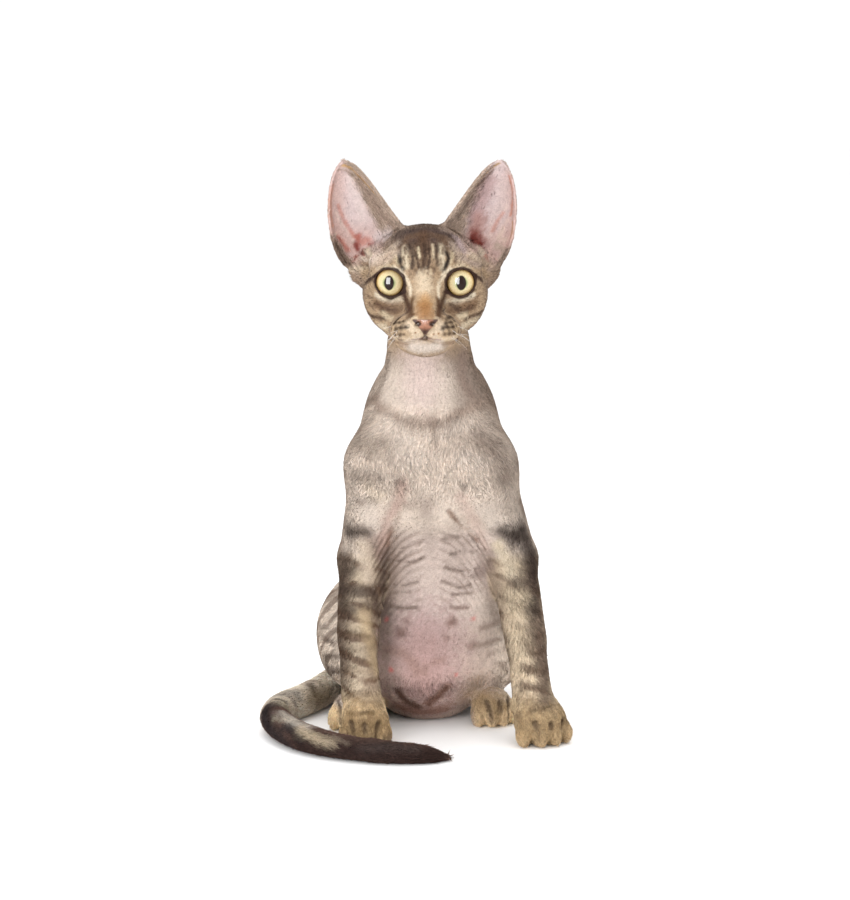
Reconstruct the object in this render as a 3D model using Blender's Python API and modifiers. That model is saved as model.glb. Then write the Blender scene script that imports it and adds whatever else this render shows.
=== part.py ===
"""A young Devon Rex cat sitting upright, as a still, life-size model.

Metres, +Z up. The cat faces -Y and its own left is +X. The origin lies on the floor, on the flat
under the belly. The body is shaped as masses of clay that melt into one another, skinned with a
voxel remesh that is drawn onto the clay's smooth surface, thinned, and then parted with thin cuts.
"""

import math

import bmesh
import bpy
import numpy as np
from mathutils import Matrix, Vector
from mathutils.bvhtree import BVHTree

# Driving dimensions
GAP = 0.0003
SKIN_VOXEL = 0.0016
EVEN_TRIANGLES = 24000
TARGET_TRIANGLES = 9400
FAR = 1.0
MELT_MARGIN = 0.018

BODY_X = 0.003
HEAD_X = 0.0001
HEAD_FLOOR = 0.195

EYE_RADIUS = 0.0093
EYE_SPACING = 0.0363
EYE_Y = -0.0650
EYE_Z = 0.2505
LID_THICKNESS = 0.0014
APERTURE_WIDTH = 0.0146
APERTURE_HEIGHT = 0.0138
OPENING_WITHIN = 0.80
OPENING_FLARE = 1.5

EAR_INNER = (0.0100, -0.0490, 0.2760)
EAR_OUTER = (0.0410, -0.0440, 0.2560)
EAR_TIP = (0.0440, -0.0380, 0.3135)
EAR_DEPTH = 0.0150
EAR_THICKNESS = 0.0020
EAR_SINK = 0.0060
EAR_SPREAD = {1: 0.985, -1: 0.990}
EAR_SHIFT = {1: -0.0030, -1: 0.0}
NOSE_REACH = 0.0062

HAUNCH_OUTER = {1: 0.0600, -1: -0.0615}

# Each foreleg runs from shoulder to paw. The cat's left one stands out to the side.
FORELEG = {
    1: {
        "shoulder": (0.0310, -0.0480, 0.1500),
        "elbow": (0.0485, -0.0290, 0.0960),
        "middle": (0.0550, -0.0455, 0.0540),
        "wrist": (0.0585, -0.0560, 0.0250),
        "paw": (0.0625, -0.0660, 0.0120),
        "toe_out": 24.0,
        "paw_half_width": 0.0160,
        "radii": (0.0125, 0.0110, 0.0115, 0.0120),
    },
    -1: {
        "shoulder": (-0.0245, -0.0480, 0.1500),
        "elbow": (-0.0345, -0.0290, 0.0960),
        "middle": (-0.0368, -0.0465, 0.0560),
        "wrist": (-0.0350, -0.0560, 0.0250),
        "paw": (-0.0325, -0.0680, 0.0115),
        "toe_out": 0.0,
        "paw_half_width": 0.0136,
        "radii": (0.0125, 0.0105, 0.0112, 0.0110),
    },
}
HINDLEG = {
    1: {"toes": (0.0375, -0.0215, 0.0098), "hock": (0.0330, 0.0400, 0.0130), "toe_out": 20.0},
    -1: {"toes": (-0.0405, -0.0335, 0.0098), "hock": (-0.0370, 0.0250, 0.0130), "toe_out": -3.0},
}
TAIL_ROUTE = [
    (0.000, 0.066, 0.0280),
    (-0.016, 0.0780, 0.0130),
    (-0.036, 0.0670, 0.0098),
    (-0.0515, 0.0410, 0.0092),
    (-0.0615, 0.0140, 0.0088),
    (-0.0705, -0.0050, 0.0086),
    (-0.0795, -0.0210, 0.0084),
    (-0.0825, -0.0420, 0.0082),
    (-0.0760, -0.0660, 0.0080),
    (-0.0625, -0.0870, 0.0075),
    (-0.0440, -0.1010, 0.0068),
    (-0.0220, -0.1090, 0.0060),
    (-0.0020, -0.1100, 0.0050),
    (0.0100, -0.1065, 0.0026),
]
TAIL_RADII = [0.0140, 0.0115, 0.0103, 0.0098, 0.0096, 0.0096, 0.0093]
TAIL_RADII += [0.0090, 0.0086, 0.0080, 0.0071, 0.0062, 0.0050, 0.0022]

# Plans, seen from above, of the blocks that part the tail's lengths
TAIL_FAR_PLAN = [(-0.105, -0.066), (-0.105, -0.130), (-0.025, -0.130), (-0.025, -0.0984)]
TAIL_FAR_PLAN += [(-0.062, -0.066)]
TAIL_MIDDLE_PLAN = [(-0.105, -0.070), (-0.058, -0.070), (-0.056, -0.012), (-0.105, -0.012)]
TAIL_NEAR_PLAN = [(-0.105, -0.016), (-0.0545, -0.016), (-0.0425, 0.036), (-0.080, 0.036)]
TAIL_BASE_PLAN = [(-0.085, 0.033), (-0.0415, 0.033), (-0.0240, 0.060), (-0.0200, 0.095), (-0.085, 0.095)]


def unit_ball():
    """Corners and faces of a ball of radius 1."""
    mesh = bmesh.new()
    bmesh.ops.create_uvsphere(mesh, u_segments=24, v_segments=16, radius=1.0)
    mesh.verts.index_update()
    corners = np.array([v.co for v in mesh.verts])
    faces = [[v.index for v in face.verts] for face in mesh.faces]
    mesh.free()
    return corners, faces


BALL_CORNERS, BALL_FACES = unit_ball()


class Ball:
    """An ellipsoid of clay. turn is its rotation about X, Y and Z in degrees."""

    def __init__(self, centre, radii, turn, melt):
        self.centre, self.radii, self.melt = np.array(centre), np.array(radii), melt
        x, y, z = (Matrix.Rotation(math.radians(a), 3, axis) for a, axis in zip(turn, "XYZ"))
        self.spin = np.array(z @ y @ x)
        reach = self.radii.max() + MELT_MARGIN
        self.low, self.high = self.centre - reach, self.centre + reach

    def field(self, places):
        local = (places - self.centre) @ self.spin
        outer = np.linalg.norm(local / self.radii, axis=1)
        inner = np.maximum(np.linalg.norm(local / self.radii**2, axis=1), 1e-9)
        return outer * (outer - 1.0) / inner

    def rough(self):
        return [self.centre + (BALL_CORNERS * self.radii) @ self.spin.T]


class Chain:
    """Round limbs end to end along a smooth curve through the points."""

    def __init__(self, points, radii, melt, steps=3):
        knots = np.column_stack([np.array(points), np.array(radii)])
        self.knots, self.melt = smooth_curve(knots, steps), melt
        reach = self.knots[:, 3].max() + MELT_MARGIN
        self.low = self.knots[:, :3].min(axis=0) - reach
        self.high = self.knots[:, :3].max(axis=0) + reach

    def field(self, places):
        total = np.full(len(places), FAR)
        for start, end in zip(self.knots[:-1], self.knots[1:]):
            total = np.minimum(total, limb_field(places, start, end))
        return total

    def rough(self):
        shapes = []
        for start, end in zip(self.knots[:-1], self.knots[1:]):
            turn = np.array(Vector(end[:3] - start[:3]).to_track_quat("Z", "Y").to_matrix())
            corners = BALL_CORNERS @ turn.T
            ahead = (BALL_CORNERS[:, 2] > 0)[:, None]
            shapes.append(np.where(ahead, end[:3] + corners * end[3], start[:3] + corners * start[3]))
        return shapes


def smooth_curve(knots, steps):
    """The knots with steps - 1 more between each two, on a Catmull-Rom curve."""
    ends = np.vstack([2 * knots[0] - knots[1], knots, 2 * knots[-1] - knots[-2]])
    curve = []
    for a, b, c, d in zip(ends[:-3], ends[1:-2], ends[2:-1], ends[3:]):
        for step in range(steps):
            t = step / steps
            bend = t * (2 * a - 5 * b + 4 * c - d + t * (3 * (b - c) + d - a))
            curve.append(b + 0.5 * t * (c - a + bend))
    return np.vstack([curve, knots[-1:]])


def limb_field(places, start, end):
    """Distance from a cone with round ends. start and end are each a place and a radius."""
    along = end[:3] - start[:3]
    length = max(float(np.linalg.norm(along)), 1e-6)
    axis = along / length
    taper = (start[3] - end[3]) / length
    slope = math.sqrt(max(1.0 - taper * taper, 1e-6))
    offset = places - start[:3]
    up = offset @ axis
    out = np.sqrt(np.maximum(np.einsum("ij,ij->i", offset, offset) - up * up, 0.0))
    lean = up * slope - out * taper
    first = np.hypot(out, up) - start[3]
    last = np.hypot(out, up - length) - end[3]
    side = out * slope + up * taper - start[3]
    return np.where(lean < 0.0, first, np.where(lean > length * slope, last, side))


class Clay:
    """Masses that melt into one another, read as a field that is negative inside."""

    def __init__(self):
        self.masses = []

    def ball(self, centre, radii, turn=(0.0, 0.0, 0.0), melt=0.010):
        self.masses.append(Ball(centre, radii, turn, melt))
        return self

    def chain(self, points, radii, melt=0.010):
        self.masses.append(Chain(points, radii, melt))
        return self

    def field(self, places):
        """Distance of each place from the melted masses, in metres. Far places get FAR."""
        total = np.full(len(places), FAR)
        for mass in self.masses:
            close = np.flatnonzero(np.all((places > mass.low) & (places < mass.high), axis=1))
            total[close] = melted(total[close], mass.field(places[close]), mass.melt)
        return total


def melted(a, b, reach):
    """The smaller of two fields, rounded where they meet within reach."""
    near = np.maximum(reach - np.abs(a - b), 0.0) / reach
    return np.minimum(a, b) - near * near * reach * 0.25


def carved(a, b, reach):
    """Field a with the shape of field b cut away, its rim rounded within reach."""
    return -melted(-a, b, reach)


def trunk_clay():
    """Rib cage, belly, rump, back, breast and neck, with the roots of the legs."""
    clay = Clay()
    clay.ball((BODY_X, -0.006, 0.122), (0.0355, 0.042, 0.060), (20, 0, 0), 0.014)
    clay.ball((0.0035, 0.004, 0.054), (0.0440, 0.040, 0.054), (4, 0, 0), 0.016)
    clay.ball((0.000, -0.001, 0.031), (0.0350, 0.036, 0.0325), (0, 0, 0), 0.014)
    clay.ball((0.0235, 0.001, 0.058), (0.0255, 0.031, 0.0420), (0, 14, 0), 0.014)
    clay.ball((0.001, 0.044, 0.040), (0.044, 0.041, 0.0415), (0, 0, 0), 0.016)
    back = [(BODY_X + 0.001, -0.012, 0.180), (BODY_X, 0.018, 0.138)]
    back += [(0.001, 0.044, 0.088), (0.001, 0.056, 0.045)]
    clay.chain(back, (0.020, 0.027, 0.032, 0.030), 0.014)
    clay.ball((BODY_X, -0.046, 0.150), (0.029, 0.021, 0.036), (0, 0, 0), 0.014)
    neck = [(BODY_X, -0.026, 0.178), (0.0022, -0.034, 0.208), (0.0005, -0.042, 0.240)]
    clay.chain(neck, (0.0315, 0.0235, 0.0202), 0.012)
    for side in (1, -1):
        shoulder_clay(clay, side)
        haunch_clay(clay, side)
    return clay


def shoulder_clay(clay, side):
    leg = FORELEG[side]
    scapula = (BODY_X + side * 0.0150, -0.010, 0.186)
    clay.chain([scapula, leg["shoulder"]], (0.0140, 0.0170), 0.016)
    clay.chain([leg["shoulder"], leg["elbow"]], (0.0165, 0.0135), 0.014)
    fold_x = leg["elbow"][0] - side * 0.0120
    fold = [(fold_x - side * 0.002, -0.0190, 0.1000), (fold_x, -0.0215, 0.0790)]
    clay.chain(fold, (0.0120, 0.0085), 0.010)


def haunch_clay(clay, side):
    """Thigh, and the knee ahead of it."""
    centre_x = HAUNCH_OUTER[side] - side * 0.0235
    clay.ball((centre_x, 0.023, 0.0430), (0.0235, 0.039, 0.0320), (22, 0, side * 6), 0.012)
    knee = [(centre_x + side * 0.003, -0.0035, 0.0360), (centre_x, 0.018, 0.0450)]
    clay.chain(knee, (0.0160, 0.0200), 0.010)


def foreleg_clay(side):
    """Forearm, wrist and paw. The forearm is deeper than it is wide near the elbow."""
    leg = FORELEG[side]
    clay = Clay()
    clay.chain([leg[k] for k in ("elbow", "middle", "wrist", "paw")], leg["radii"], 0.010)
    behind = (leg["elbow"][0], leg["elbow"][1] + 0.006, leg["elbow"][2] - 0.006)
    clay.chain([behind, leg["middle"]], (0.0095, 0.0080), 0.010)
    dewclaw = Vector(leg["wrist"]) + Vector((-side * 0.0095, -0.0030, -0.0060))
    clay.ball(dewclaw, (0.0034, 0.0042, 0.0050), (20, 0, 0), 0.003)
    add_paw(clay, leg["paw"], leg["toe_out"], leg["paw_half_width"], 0.0078)
    return clay


def hindfoot_clay(side):
    """The long foot, flat on the floor, and the hock behind it."""
    leg = HINDLEG[side]
    clay = Clay()
    toes, hock = Vector(leg["toes"]), Vector(leg["hock"])
    clay.chain([hock, toes], (0.0085, 0.0095), 0.008)
    shin = [hock + Vector((0, 0.002, 0.010)), hock + Vector((0, -0.022, 0.024))]
    clay.chain(shin, (0.0085, 0.0105), 0.008)
    add_paw(clay, leg["toes"], leg["toe_out"], 0.0122, 0.0070)
    return clay


def add_paw(clay, centre, toe_out, half_width, reach):
    """The ball of a foot and its four toes, which fan out and reach further in the middle."""
    clay.ball(centre, (half_width * 0.92, 0.0140, centre[2] + 0.0010), (0, 0, toe_out), 0.006)
    turn = Matrix.Rotation(math.radians(toe_out), 3, "Z")
    for k, across in enumerate((-0.74, -0.25, 0.25, 0.74)):
        held_back = 0.0 if k in (1, 2) else 0.0042
        place = Vector(centre) + turn @ Vector((across * half_width, held_back - reach, 0.0062 - centre[2]))
        clay.ball(place, (0.0048, 0.0080, 0.0074), (12, 0, toe_out + across * 14.0), 0.0022)


def tail_clay():
    return Clay().chain(TAIL_ROUTE, TAIL_RADII, 0.006)


def head_place(x, y, z):
    return (HEAD_X + x, y, z)


def head_clay():
    """Wedge-shaped head: round skull, wide cheekbones, short muzzle and a marked stop."""
    clay = Clay()
    clay.ball(head_place(0, -0.0455, 0.2550), (0.0290, 0.0315, 0.0255), (0, 0, 0), 0.010)
    clay.ball(head_place(0, -0.0590, 0.2620), (0.0215, 0.0165, 0.0150), (0, 0, 0), 0.008)
    for side in (1, -1):
        clay.ball(head_place(side * 0.0205, -0.0540, 0.2440), (0.0130, 0.0185, 0.0125), (0, 0, 0), 0.010)
        brow = [head_place(side * 0.0070, -0.0700, 0.2590), head_place(side * 0.0240, -0.0610, 0.2610)]
        clay.chain(brow, (0.0055, 0.0060), 0.006)
        jaw = [head_place(side * 0.0170, -0.0560, 0.2340), head_place(side * 0.0085, -0.0790, 0.2235)]
        clay.chain(jaw, (0.0115, 0.0085), 0.010)
        pad = head_place(side * 0.0090, -0.0835, 0.2265)
        clay.ball(pad, (0.0094, 0.0086, 0.0074), (0, 0, side * 12), 0.0060)
        clay.ball(head_place(side * 0.0325, -0.0375, 0.2550), (0.0080, 0.0095, 0.0075), (0, 0, 0), 0.010)
        clay.ball(head_place(side * 0.0215, -0.0300, 0.2550), (0.0120, 0.0110, 0.0140), (0, 0, 0), 0.012)
    clay.chain([head_place(0, -0.0660, 0.2500), head_place(0, -0.0875, 0.2345)], (0.0105, 0.0070), 0.008)
    clay.ball(head_place(0, -0.0905, 0.2318), (0.0062, 0.0058, 0.0048), (-20, 0, 0), 0.0025)
    clay.ball(head_place(0, -0.0815, 0.2198), (0.0110, 0.0082, 0.0060), (0, 0, 0), 0.004)
    clay.chain([head_place(0, -0.0765, 0.2225), head_place(0, -0.0500, 0.2290)], (0.0075, 0.0145), 0.010)
    return clay


def eye_centre(side):
    return np.array(head_place(side * EYE_SPACING / 2, EYE_Y, EYE_Z))


def gaze(side):
    """Each eye looks ahead and a little outwards."""
    return np.array(Vector((side * 0.10, -1.0, 0.02)).normalized())


def with_lids(field, places):
    """Lids over each eyeball, closed until the eye's opening is cut."""
    for side in (1, -1):
        lid = np.linalg.norm(places - eye_centre(side), axis=1) - (EYE_RADIUS + LID_THICKNESS)
        field = melted(field, lid, 0.005)
    return field


MOUTH_LINE = [(0.0, 0.2232), (0.0050, 0.2212), (0.0100, 0.2200), (0.0150, 0.2206), (0.0185, 0.2228)]
PHILTRUM = [(0.0, 0.2275), (0.0, 0.2228)]


def line_distance(places, line, side):
    """Distance in the frontal plane from a line given for the cat's left."""
    flat = np.stack([(places[:, 0] - HEAD_X) * side, places[:, 2]], axis=1)
    nearest = np.full(len(places), FAR)
    for start, end in zip(np.array(line[:-1]), np.array(line[1:])):
        along = end - start
        share = np.clip((flat - start) @ along / (along @ along), 0.0, 1.0)
        nearest = np.minimum(nearest, np.linalg.norm(flat - start - share[:, None] * along, axis=1))
    return nearest


def with_face_lines(field, places):
    """Mouth line, philtrum and nostrils."""
    front = np.clip((-0.0660 - places[:, 1]) / 0.008, 0.0, 1.0)
    for side in (1, -1):
        mouth = line_distance(places, MOUTH_LINE, side)
        field = field + 0.0011 * front * np.exp(-((mouth / 0.0009) ** 2))
        place = head_place(side * 0.0040, -0.0955, 0.2308)
        nostril = Ball(place, (0.0020, 0.0034, 0.0011), (0, side * 35, 0), 0.0)
        field = carved(field, nostril.field(places), 0.0008)
    groove = line_distance(places, PHILTRUM, 1)
    return field + 0.0008 * front * np.exp(-((groove / 0.0008) ** 2))


def bezier(points, share):
    """A point on the cubic curve with these four control points."""
    a, b, c, d = (Vector(p) for p in points)
    rest = 1.0 - share
    return a * rest**3 + b * 3 * rest**2 * share + c * 3 * rest * share**2 + d * share**3


def ear_sheet(side, rungs=20, columns=16):
    """The open cup of one ear: rungs from its inner to its outer edge, bowed backwards."""
    inner, outer, tip = (Vector(p) for p in (EAR_INNER, EAR_OUTER, EAR_TIP))
    axis = (tip - (inner + outer) / 2).normalized()
    inner_pull, outer_pull = Vector((0.0140, 0.0020, 0.0150)), Vector((0.0155, 0.0040, 0.0100))
    inner_edge = (inner, inner + inner_pull, tip + Vector((-0.0105, 0.0, -0.0020)), tip)
    outer_edge = (outer, outer + outer_pull, tip + Vector((0.0110, 0.0, -0.0050)), tip)
    mesh = bmesh.new()
    rows = []
    for rung in range(-1, rungs + 1):
        rise = 1.0 - (1.0 - max(rung, 0) / rungs) ** 1.25
        left, right = bezier(inner_edge, rise), bezier(outer_edge, rise)
        half = (right - left) / 2
        across = half.normalized() if half.length > 1e-6 else Vector((1, 0, 0))
        back = across.cross(axis).normalized()
        if back.y < 0:
            back = -back
        depth = EAR_DEPTH * min(1.0, half.length / 0.019) ** 1.15
        row = []
        for column in range(columns + 1):
            angle = math.pi * (column / columns - 0.5)
            place = (left + right) / 2 + half * math.sin(angle) + back * depth * math.cos(angle)
            if rung < 0:
                place -= axis * EAR_SINK
            beside = place.x * EAR_SPREAD[side] + EAR_SHIFT[side]
            row.append(mesh.verts.new((HEAD_X + side * beside, place.y, place.z)))
        rows.append(row)
    for lower, upper in zip(rows[:-1], rows[1:]):
        for k in range(columns):
            corners = (lower[k], lower[k + 1], upper[k + 1], upper[k])
            mesh.faces.new(corners if side < 0 else corners[::-1])
    bmesh.ops.remove_doubles(mesh, verts=mesh.verts, dist=0.00005)
    return mesh


def ear_tree(side):
    """The ear's middle sheet, to be asked for the nearest place on it."""
    mesh = ear_sheet(side)
    tree = BVHTree.FromBMesh(mesh)
    mesh.free()
    return tree


def ear_field(places, tree):
    """Distance from a sheet of the ear's thickness."""
    near = [tree.find_nearest(Vector(place))[3] for place in places]
    return np.array(near) - EAR_THICKNESS / 2


def with_ears(field, places, trees):
    """Each ear, and the bowl that goes down into the head in front of it."""
    for side, tree in trees.items():
        beside = (places[:, 0] - HEAD_X) * side
        near = np.flatnonzero((beside > 0.004) & (places[:, 2] > 0.243) & (places[:, 1] > -0.062))
        if not len(near):
            continue
        local = places[near]
        value = carved(field[near], EAR_BOWL[side].field(local), 0.003)
        field[near] = melted(value, ear_field(local, tree), 0.004)
    return field


EAR_BOWL = {
    side: Ball(head_place(side * 0.0265, -0.0455, 0.2685), (0.0125, 0.0080, 0.0080), (0, side * 36, 0), 0.0)
    for side in (1, -1)
}


class Cat:
    """The whole animal's clay, made once."""

    def __init__(self):
        self.trunk, self.head, self.tail = trunk_clay(), head_clay(), tail_clay()
        self.legs = [foreleg_clay(side) for side in (1, -1)]
        self.feet = [hindfoot_clay(side) for side in (1, -1)]
        self.ears = {side: ear_tree(side) for side in (1, -1)}

    def head_field(self, places):
        """The head with its lids, lines and ears, for the places near it."""
        total = np.full(len(places), FAR)
        near = np.flatnonzero((places[:, 2] > HEAD_FLOOR) & (places[:, 1] < 0.012))
        local = places[near]
        value = with_face_lines(with_lids(self.head.field(local), local), local)
        total[near] = with_ears(value, local, self.ears)
        return total

    def field(self, places):
        total = melted(self.trunk.field(places), self.head_field(places), 0.008)
        for leg in self.legs:
            total = melted(total, leg.field(places), 0.006)
        for foot in self.feet:
            total = melted(total, foot.field(places), 0.005)
        return melted(total, self.tail.field(places), 0.002)

    def rough(self):
        """All the masses as overlapping balls and limbs, in one object with thick ear sheets."""
        lid = EYE_RADIUS + LID_THICKNESS
        masses = [Ball(eye_centre(side), (lid, lid, lid), (0, 0, 0), 0.0) for side in (1, -1)]
        for clay in [self.trunk, self.head, self.tail, *self.legs, *self.feet]:
            masses += clay.masses
        shapes = [shape for mass in masses for shape in mass.rough()]
        count = len(BALL_CORNERS)
        faces = [[k * count + corner for corner in face] for k in range(len(shapes)) for face in BALL_FACES]
        data = bpy.data.meshes.new("rough_body")
        data.from_pydata(np.vstack(shapes), [], faces)
        made = bpy.data.objects.new("rough_body", data)
        CAT.objects.link(made)
        return made


def object_from(mesh, name):
    """A new object in the cat's collection, from a bmesh."""
    data = bpy.data.meshes.new(name)
    mesh.to_mesh(data)
    mesh.free()
    made = bpy.data.objects.new(name, data)
    CAT.objects.link(made)
    return made


def applied(source):
    """The object with its mesh as its modifiers leave it, and no modifiers."""
    graph = bpy.context.evaluated_depsgraph_get()
    mesh = bpy.data.meshes.new_from_object(source.evaluated_get(graph))
    source.modifiers.clear()
    source.data = mesh
    return source


def ear_object(side):
    """An ear thick enough for the remesh to hold. It is drawn thinner with the rest."""
    made = object_from(ear_sheet(side), f"ear_sheet_{side}")
    solid = made.modifiers.new("thickness", "SOLIDIFY")
    solid.thickness = max(EAR_THICKNESS, 2.0 * SKIN_VOXEL)
    solid.offset = 0.0
    return applied(made)


def join(objects, name):
    """All the objects' meshes in one object."""
    mesh = bmesh.new()
    for source in objects:
        mesh.from_mesh(source.data)
        bpy.data.objects.remove(source)
    return object_from(mesh, name)


def coordinates(mesh):
    places = np.empty(len(mesh.vertices) * 3)
    mesh.vertices.foreach_get("co", places)
    return places.reshape(-1, 3)


def edge_ends(mesh):
    ends = np.empty(len(mesh.edges) * 2, dtype=np.int64)
    mesh.edges.foreach_get("vertices", ends)
    return ends.reshape(-1, 2)


def relaxed(places, edges, strength):
    """Each vertex moved towards the middle of its neighbours."""
    ends = np.concatenate([edges[:, 0], edges[:, 1]])
    others = np.concatenate([edges[:, 1], edges[:, 0]])
    count = np.maximum(np.bincount(ends, minlength=len(places)), 1)
    middle = [np.bincount(ends, places[others, k], len(places)) / count for k in range(3)]
    return places + (np.stack(middle, axis=1) - places) * strength


def drawn_on(places, field_of, step_limit=0.002):
    """Each vertex moved along the field's slope onto its zero surface."""
    tiny = 0.0002
    value = field_of(places)
    slope = np.stack([field_of(places + tiny * axis) - value for axis in np.eye(3)], axis=1) / tiny
    size = np.maximum(np.linalg.norm(slope, axis=1), 0.3)
    step = np.clip(value / size, -step_limit, step_limit)
    return places - slope / size[:, None] * step[:, None]


def refine_face(skin):
    """Smaller faces on the muzzle and round the eyes."""
    mesh = bmesh.new()
    mesh.from_mesh(skin.data)
    fine = [e for e in mesh.edges if all(v.co.y < -0.066 and v.co.z > 0.2 for v in e.verts)]
    bmesh.ops.subdivide_edges(mesh, edges=fine, cuts=1, use_grid_fill=True)
    bmesh.ops.triangulate(mesh, faces=[f for f in mesh.faces if len(f.verts) > 4])
    mesh.to_mesh(skin.data)
    mesh.free()


def skinned(cat):
    """One closed skin over clay and ears, drawn onto the clay's smooth surface."""
    skin = join([cat.rough(), ear_object(1), ear_object(-1)], "skin")
    remesh = skin.modifiers.new("skin", "REMESH")
    remesh.mode = "VOXEL"
    remesh.voxel_size = SKIN_VOXEL
    applied(skin)
    refine_face(skin)
    places, edges = coordinates(skin.data), edge_ends(skin.data)
    for strength in (0.9, 0.8, 0.7, 0.6, 0.4, 0.3, 0.2, 0.0):
        places = relaxed(drawn_on(places, cat.field), edges, strength)
    skin.data.vertices.foreach_set("co", places.ravel())
    skin.data.update()
    return skin


def in_face(place):
    return place.y < -0.060 and place.z > 0.205


def thin_out(skin, target, keep_face):
    """Decimate to the target number of triangles, in the second pass with the face left as it is."""
    triangles = sum(len(p.vertices) - 2 for p in skin.data.polygons)
    fewer = skin.modifiers.new("fewer", "DECIMATE")
    fewer.ratio = target / triangles
    fewer.use_collapse_triangulate = True
    if keep_face:
        free = skin.vertex_groups.new(name="free")
        free.add([v.index for v in skin.data.vertices if not in_face(v.co)], 1.0, "REPLACE")
        fewer.vertex_group = free.name
    return applied(skin)


def solid_between(low_ring, high_ring, grow=0.0):
    """A convex block between two rings of corners, its faces moved outwards by grow."""
    mesh = bmesh.new()
    low = [mesh.verts.new(p) for p in low_ring]
    high = [mesh.verts.new(p) for p in high_ring]
    count = len(low)
    mesh.faces.new(low)
    mesh.faces.new(high)
    for k in range(count):
        following = (k + 1) % count
        mesh.faces.new((low[k], low[following], high[following], high[k]))
    bmesh.ops.recalc_face_normals(mesh, faces=mesh.faces)
    moved = {}
    for vertex in mesh.verts:
        normals = np.array([face.normal for face in vertex.link_faces])
        moved[vertex] = np.linalg.solve(normals, np.full(3, grow))
    for vertex, shift in moved.items():
        vertex.co += Vector(shift)
    return mesh


def prism(plan, low, high):
    """The two rings of an upright block over a plan."""
    return [(x, y, low) for x, y in plan], [(x, y, high) for x, y in plan]


def rectangle(x0, x1, y0, y1):
    return [(x0, y0), (x1, y0), (x1, y1), (x0, y1)]


def above_slope(y0, z0, y1, z1, top):
    """A wide block over a plane that rises from front to back."""
    wide = 0.12
    low = [(-wide, y0, z0), (wide, y0, z0), (wide, y1, z1), (-wide, y1, z1)]
    return low, [(x, y, top) for x, y, _ in low]


def ear_block(side):
    """Over the line from the ear's inner to its outer root."""
    (x0, z0), (x1, z1) = (-0.0005, 0.2900), (0.0900, 0.2180)
    low = [(side * x0, -0.09, z0), (side * x1, -0.09, z1), (side * x1, 0.03, z1), (side * x0, 0.03, z0)]
    return low, [(x, y, 0.35) for x, y, _ in low]


def hind_foot_block(side):
    """Under the haunch. Its front leans back, clear of the wrist."""
    inner, outer, back, top = side * 0.0255, side * 0.0800, {1: 0.0520, -1: 0.0360}[side], 0.0215
    low = [(inner, -0.0505, -0.01), (outer, -0.0505, -0.01), (outer, back, -0.01), (inner, back, -0.01)]
    high = [(inner, -0.0455, top), (outer, -0.0455, top), (outer, back, top), (inner, back, top)]
    return low, high


def forearm_block(side):
    """Its inner wall leans out towards the back, between the belly and the paw."""
    front, foot, elbow = {1: (0.0300, 0.0380, 0.0335), -1: (-0.0120, -0.0200, -0.0236)}[side]
    outer, top, back = side * 0.0950, 0.0800, {1: -0.0215, -1: -0.0160}[side]
    low = [(front, -0.10, -0.01), (outer, -0.10, -0.01), (outer, -0.0505, -0.01), (foot, -0.0505, -0.01)]
    high = [(front, -0.10, top), (outer, -0.10, top), (outer, back, top), (elbow, back, top)]
    return low, high


def shoulder_block(side):
    inner = {1: 0.0320, -1: -0.0262}[side]
    return prism(rectangle(inner, side * 0.09, -0.10, -0.0130), 0.0700, 0.1660)


def haunch_block(side):
    return prism(rectangle(side * 0.0340, side * 0.09, -0.0400, 0.0620), 0.0100, 0.0900)


def blocks():
    """Every node's name and block, in the order in which they are parted off."""
    listed = [
        ("tail_tip", prism(rectangle(-0.0300, 0.0300, -0.1300, -0.0900), -0.01, 0.02)),
        ("tail_far", prism(TAIL_FAR_PLAN, -0.01, 0.0195)),
        ("tail_middle", prism(TAIL_MIDDLE_PLAN, -0.01, 0.0195)),
        ("tail_near", prism(TAIL_NEAR_PLAN, -0.01, 0.0195)),
        ("tail_base", prism(TAIL_BASE_PLAN, -0.01, 0.0200)),
    ]
    makers = {
        "hind_foot": hind_foot_block,
        "forearm": forearm_block,
        "shoulder": shoulder_block,
        "haunch": haunch_block,
        "ear": ear_block,
    }
    for name, make in makers.items():
        listed += [(f"{name}_left", make(1)), (f"{name}_right", make(-1))]
    listed.append(("head", above_slope(-0.120, 0.1677, 0.040, 0.2685, 0.36)))
    listed.append(("neck", above_slope(-0.120, 0.1607, 0.040, 0.2180, 0.36)))
    return listed


def cut(source, cutter, operation):
    """The source after a Boolean with the cutter, which is used up."""
    step = source.modifiers.new("cut", "BOOLEAN")
    step.operation = operation
    step.object = cutter
    step.solver = "MANIFOLD"
    applied(source)
    bpy.data.objects.remove(cutter)
    return source


def keep_largest(source):
    """Drop every closed surface but the one with the most faces."""
    mesh = bmesh.new()
    mesh.from_mesh(source.data)
    left, islands = set(mesh.verts), []
    while left:
        front = [left.pop()]
        island = list(front)
        while front:
            near = {e.other_vert(v) for v in front for e in v.link_edges} & left
            left -= near
            front = list(near)
            island += front
        islands.append(island)
    islands.sort(key=len)
    bmesh.ops.delete(mesh, geom=[v for island in islands[:-1] for v in island], context="VERTS")
    bmesh.ops.triangulate(mesh, faces=mesh.faces)
    mesh.to_mesh(source.data)
    mesh.free()


def part_off(rest, name, rings):
    """Move what is in the block to a node of its own, a gap away from the rest."""
    node = bpy.data.objects.new(name, rest.data.copy())
    CAT.objects.link(node)
    cut(node, object_from(solid_between(*rings), "block"), "INTERSECT")
    cut(rest, object_from(solid_between(*rings, grow=GAP), "block"), "DIFFERENCE")
    keep_largest(node)
    return node


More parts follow.
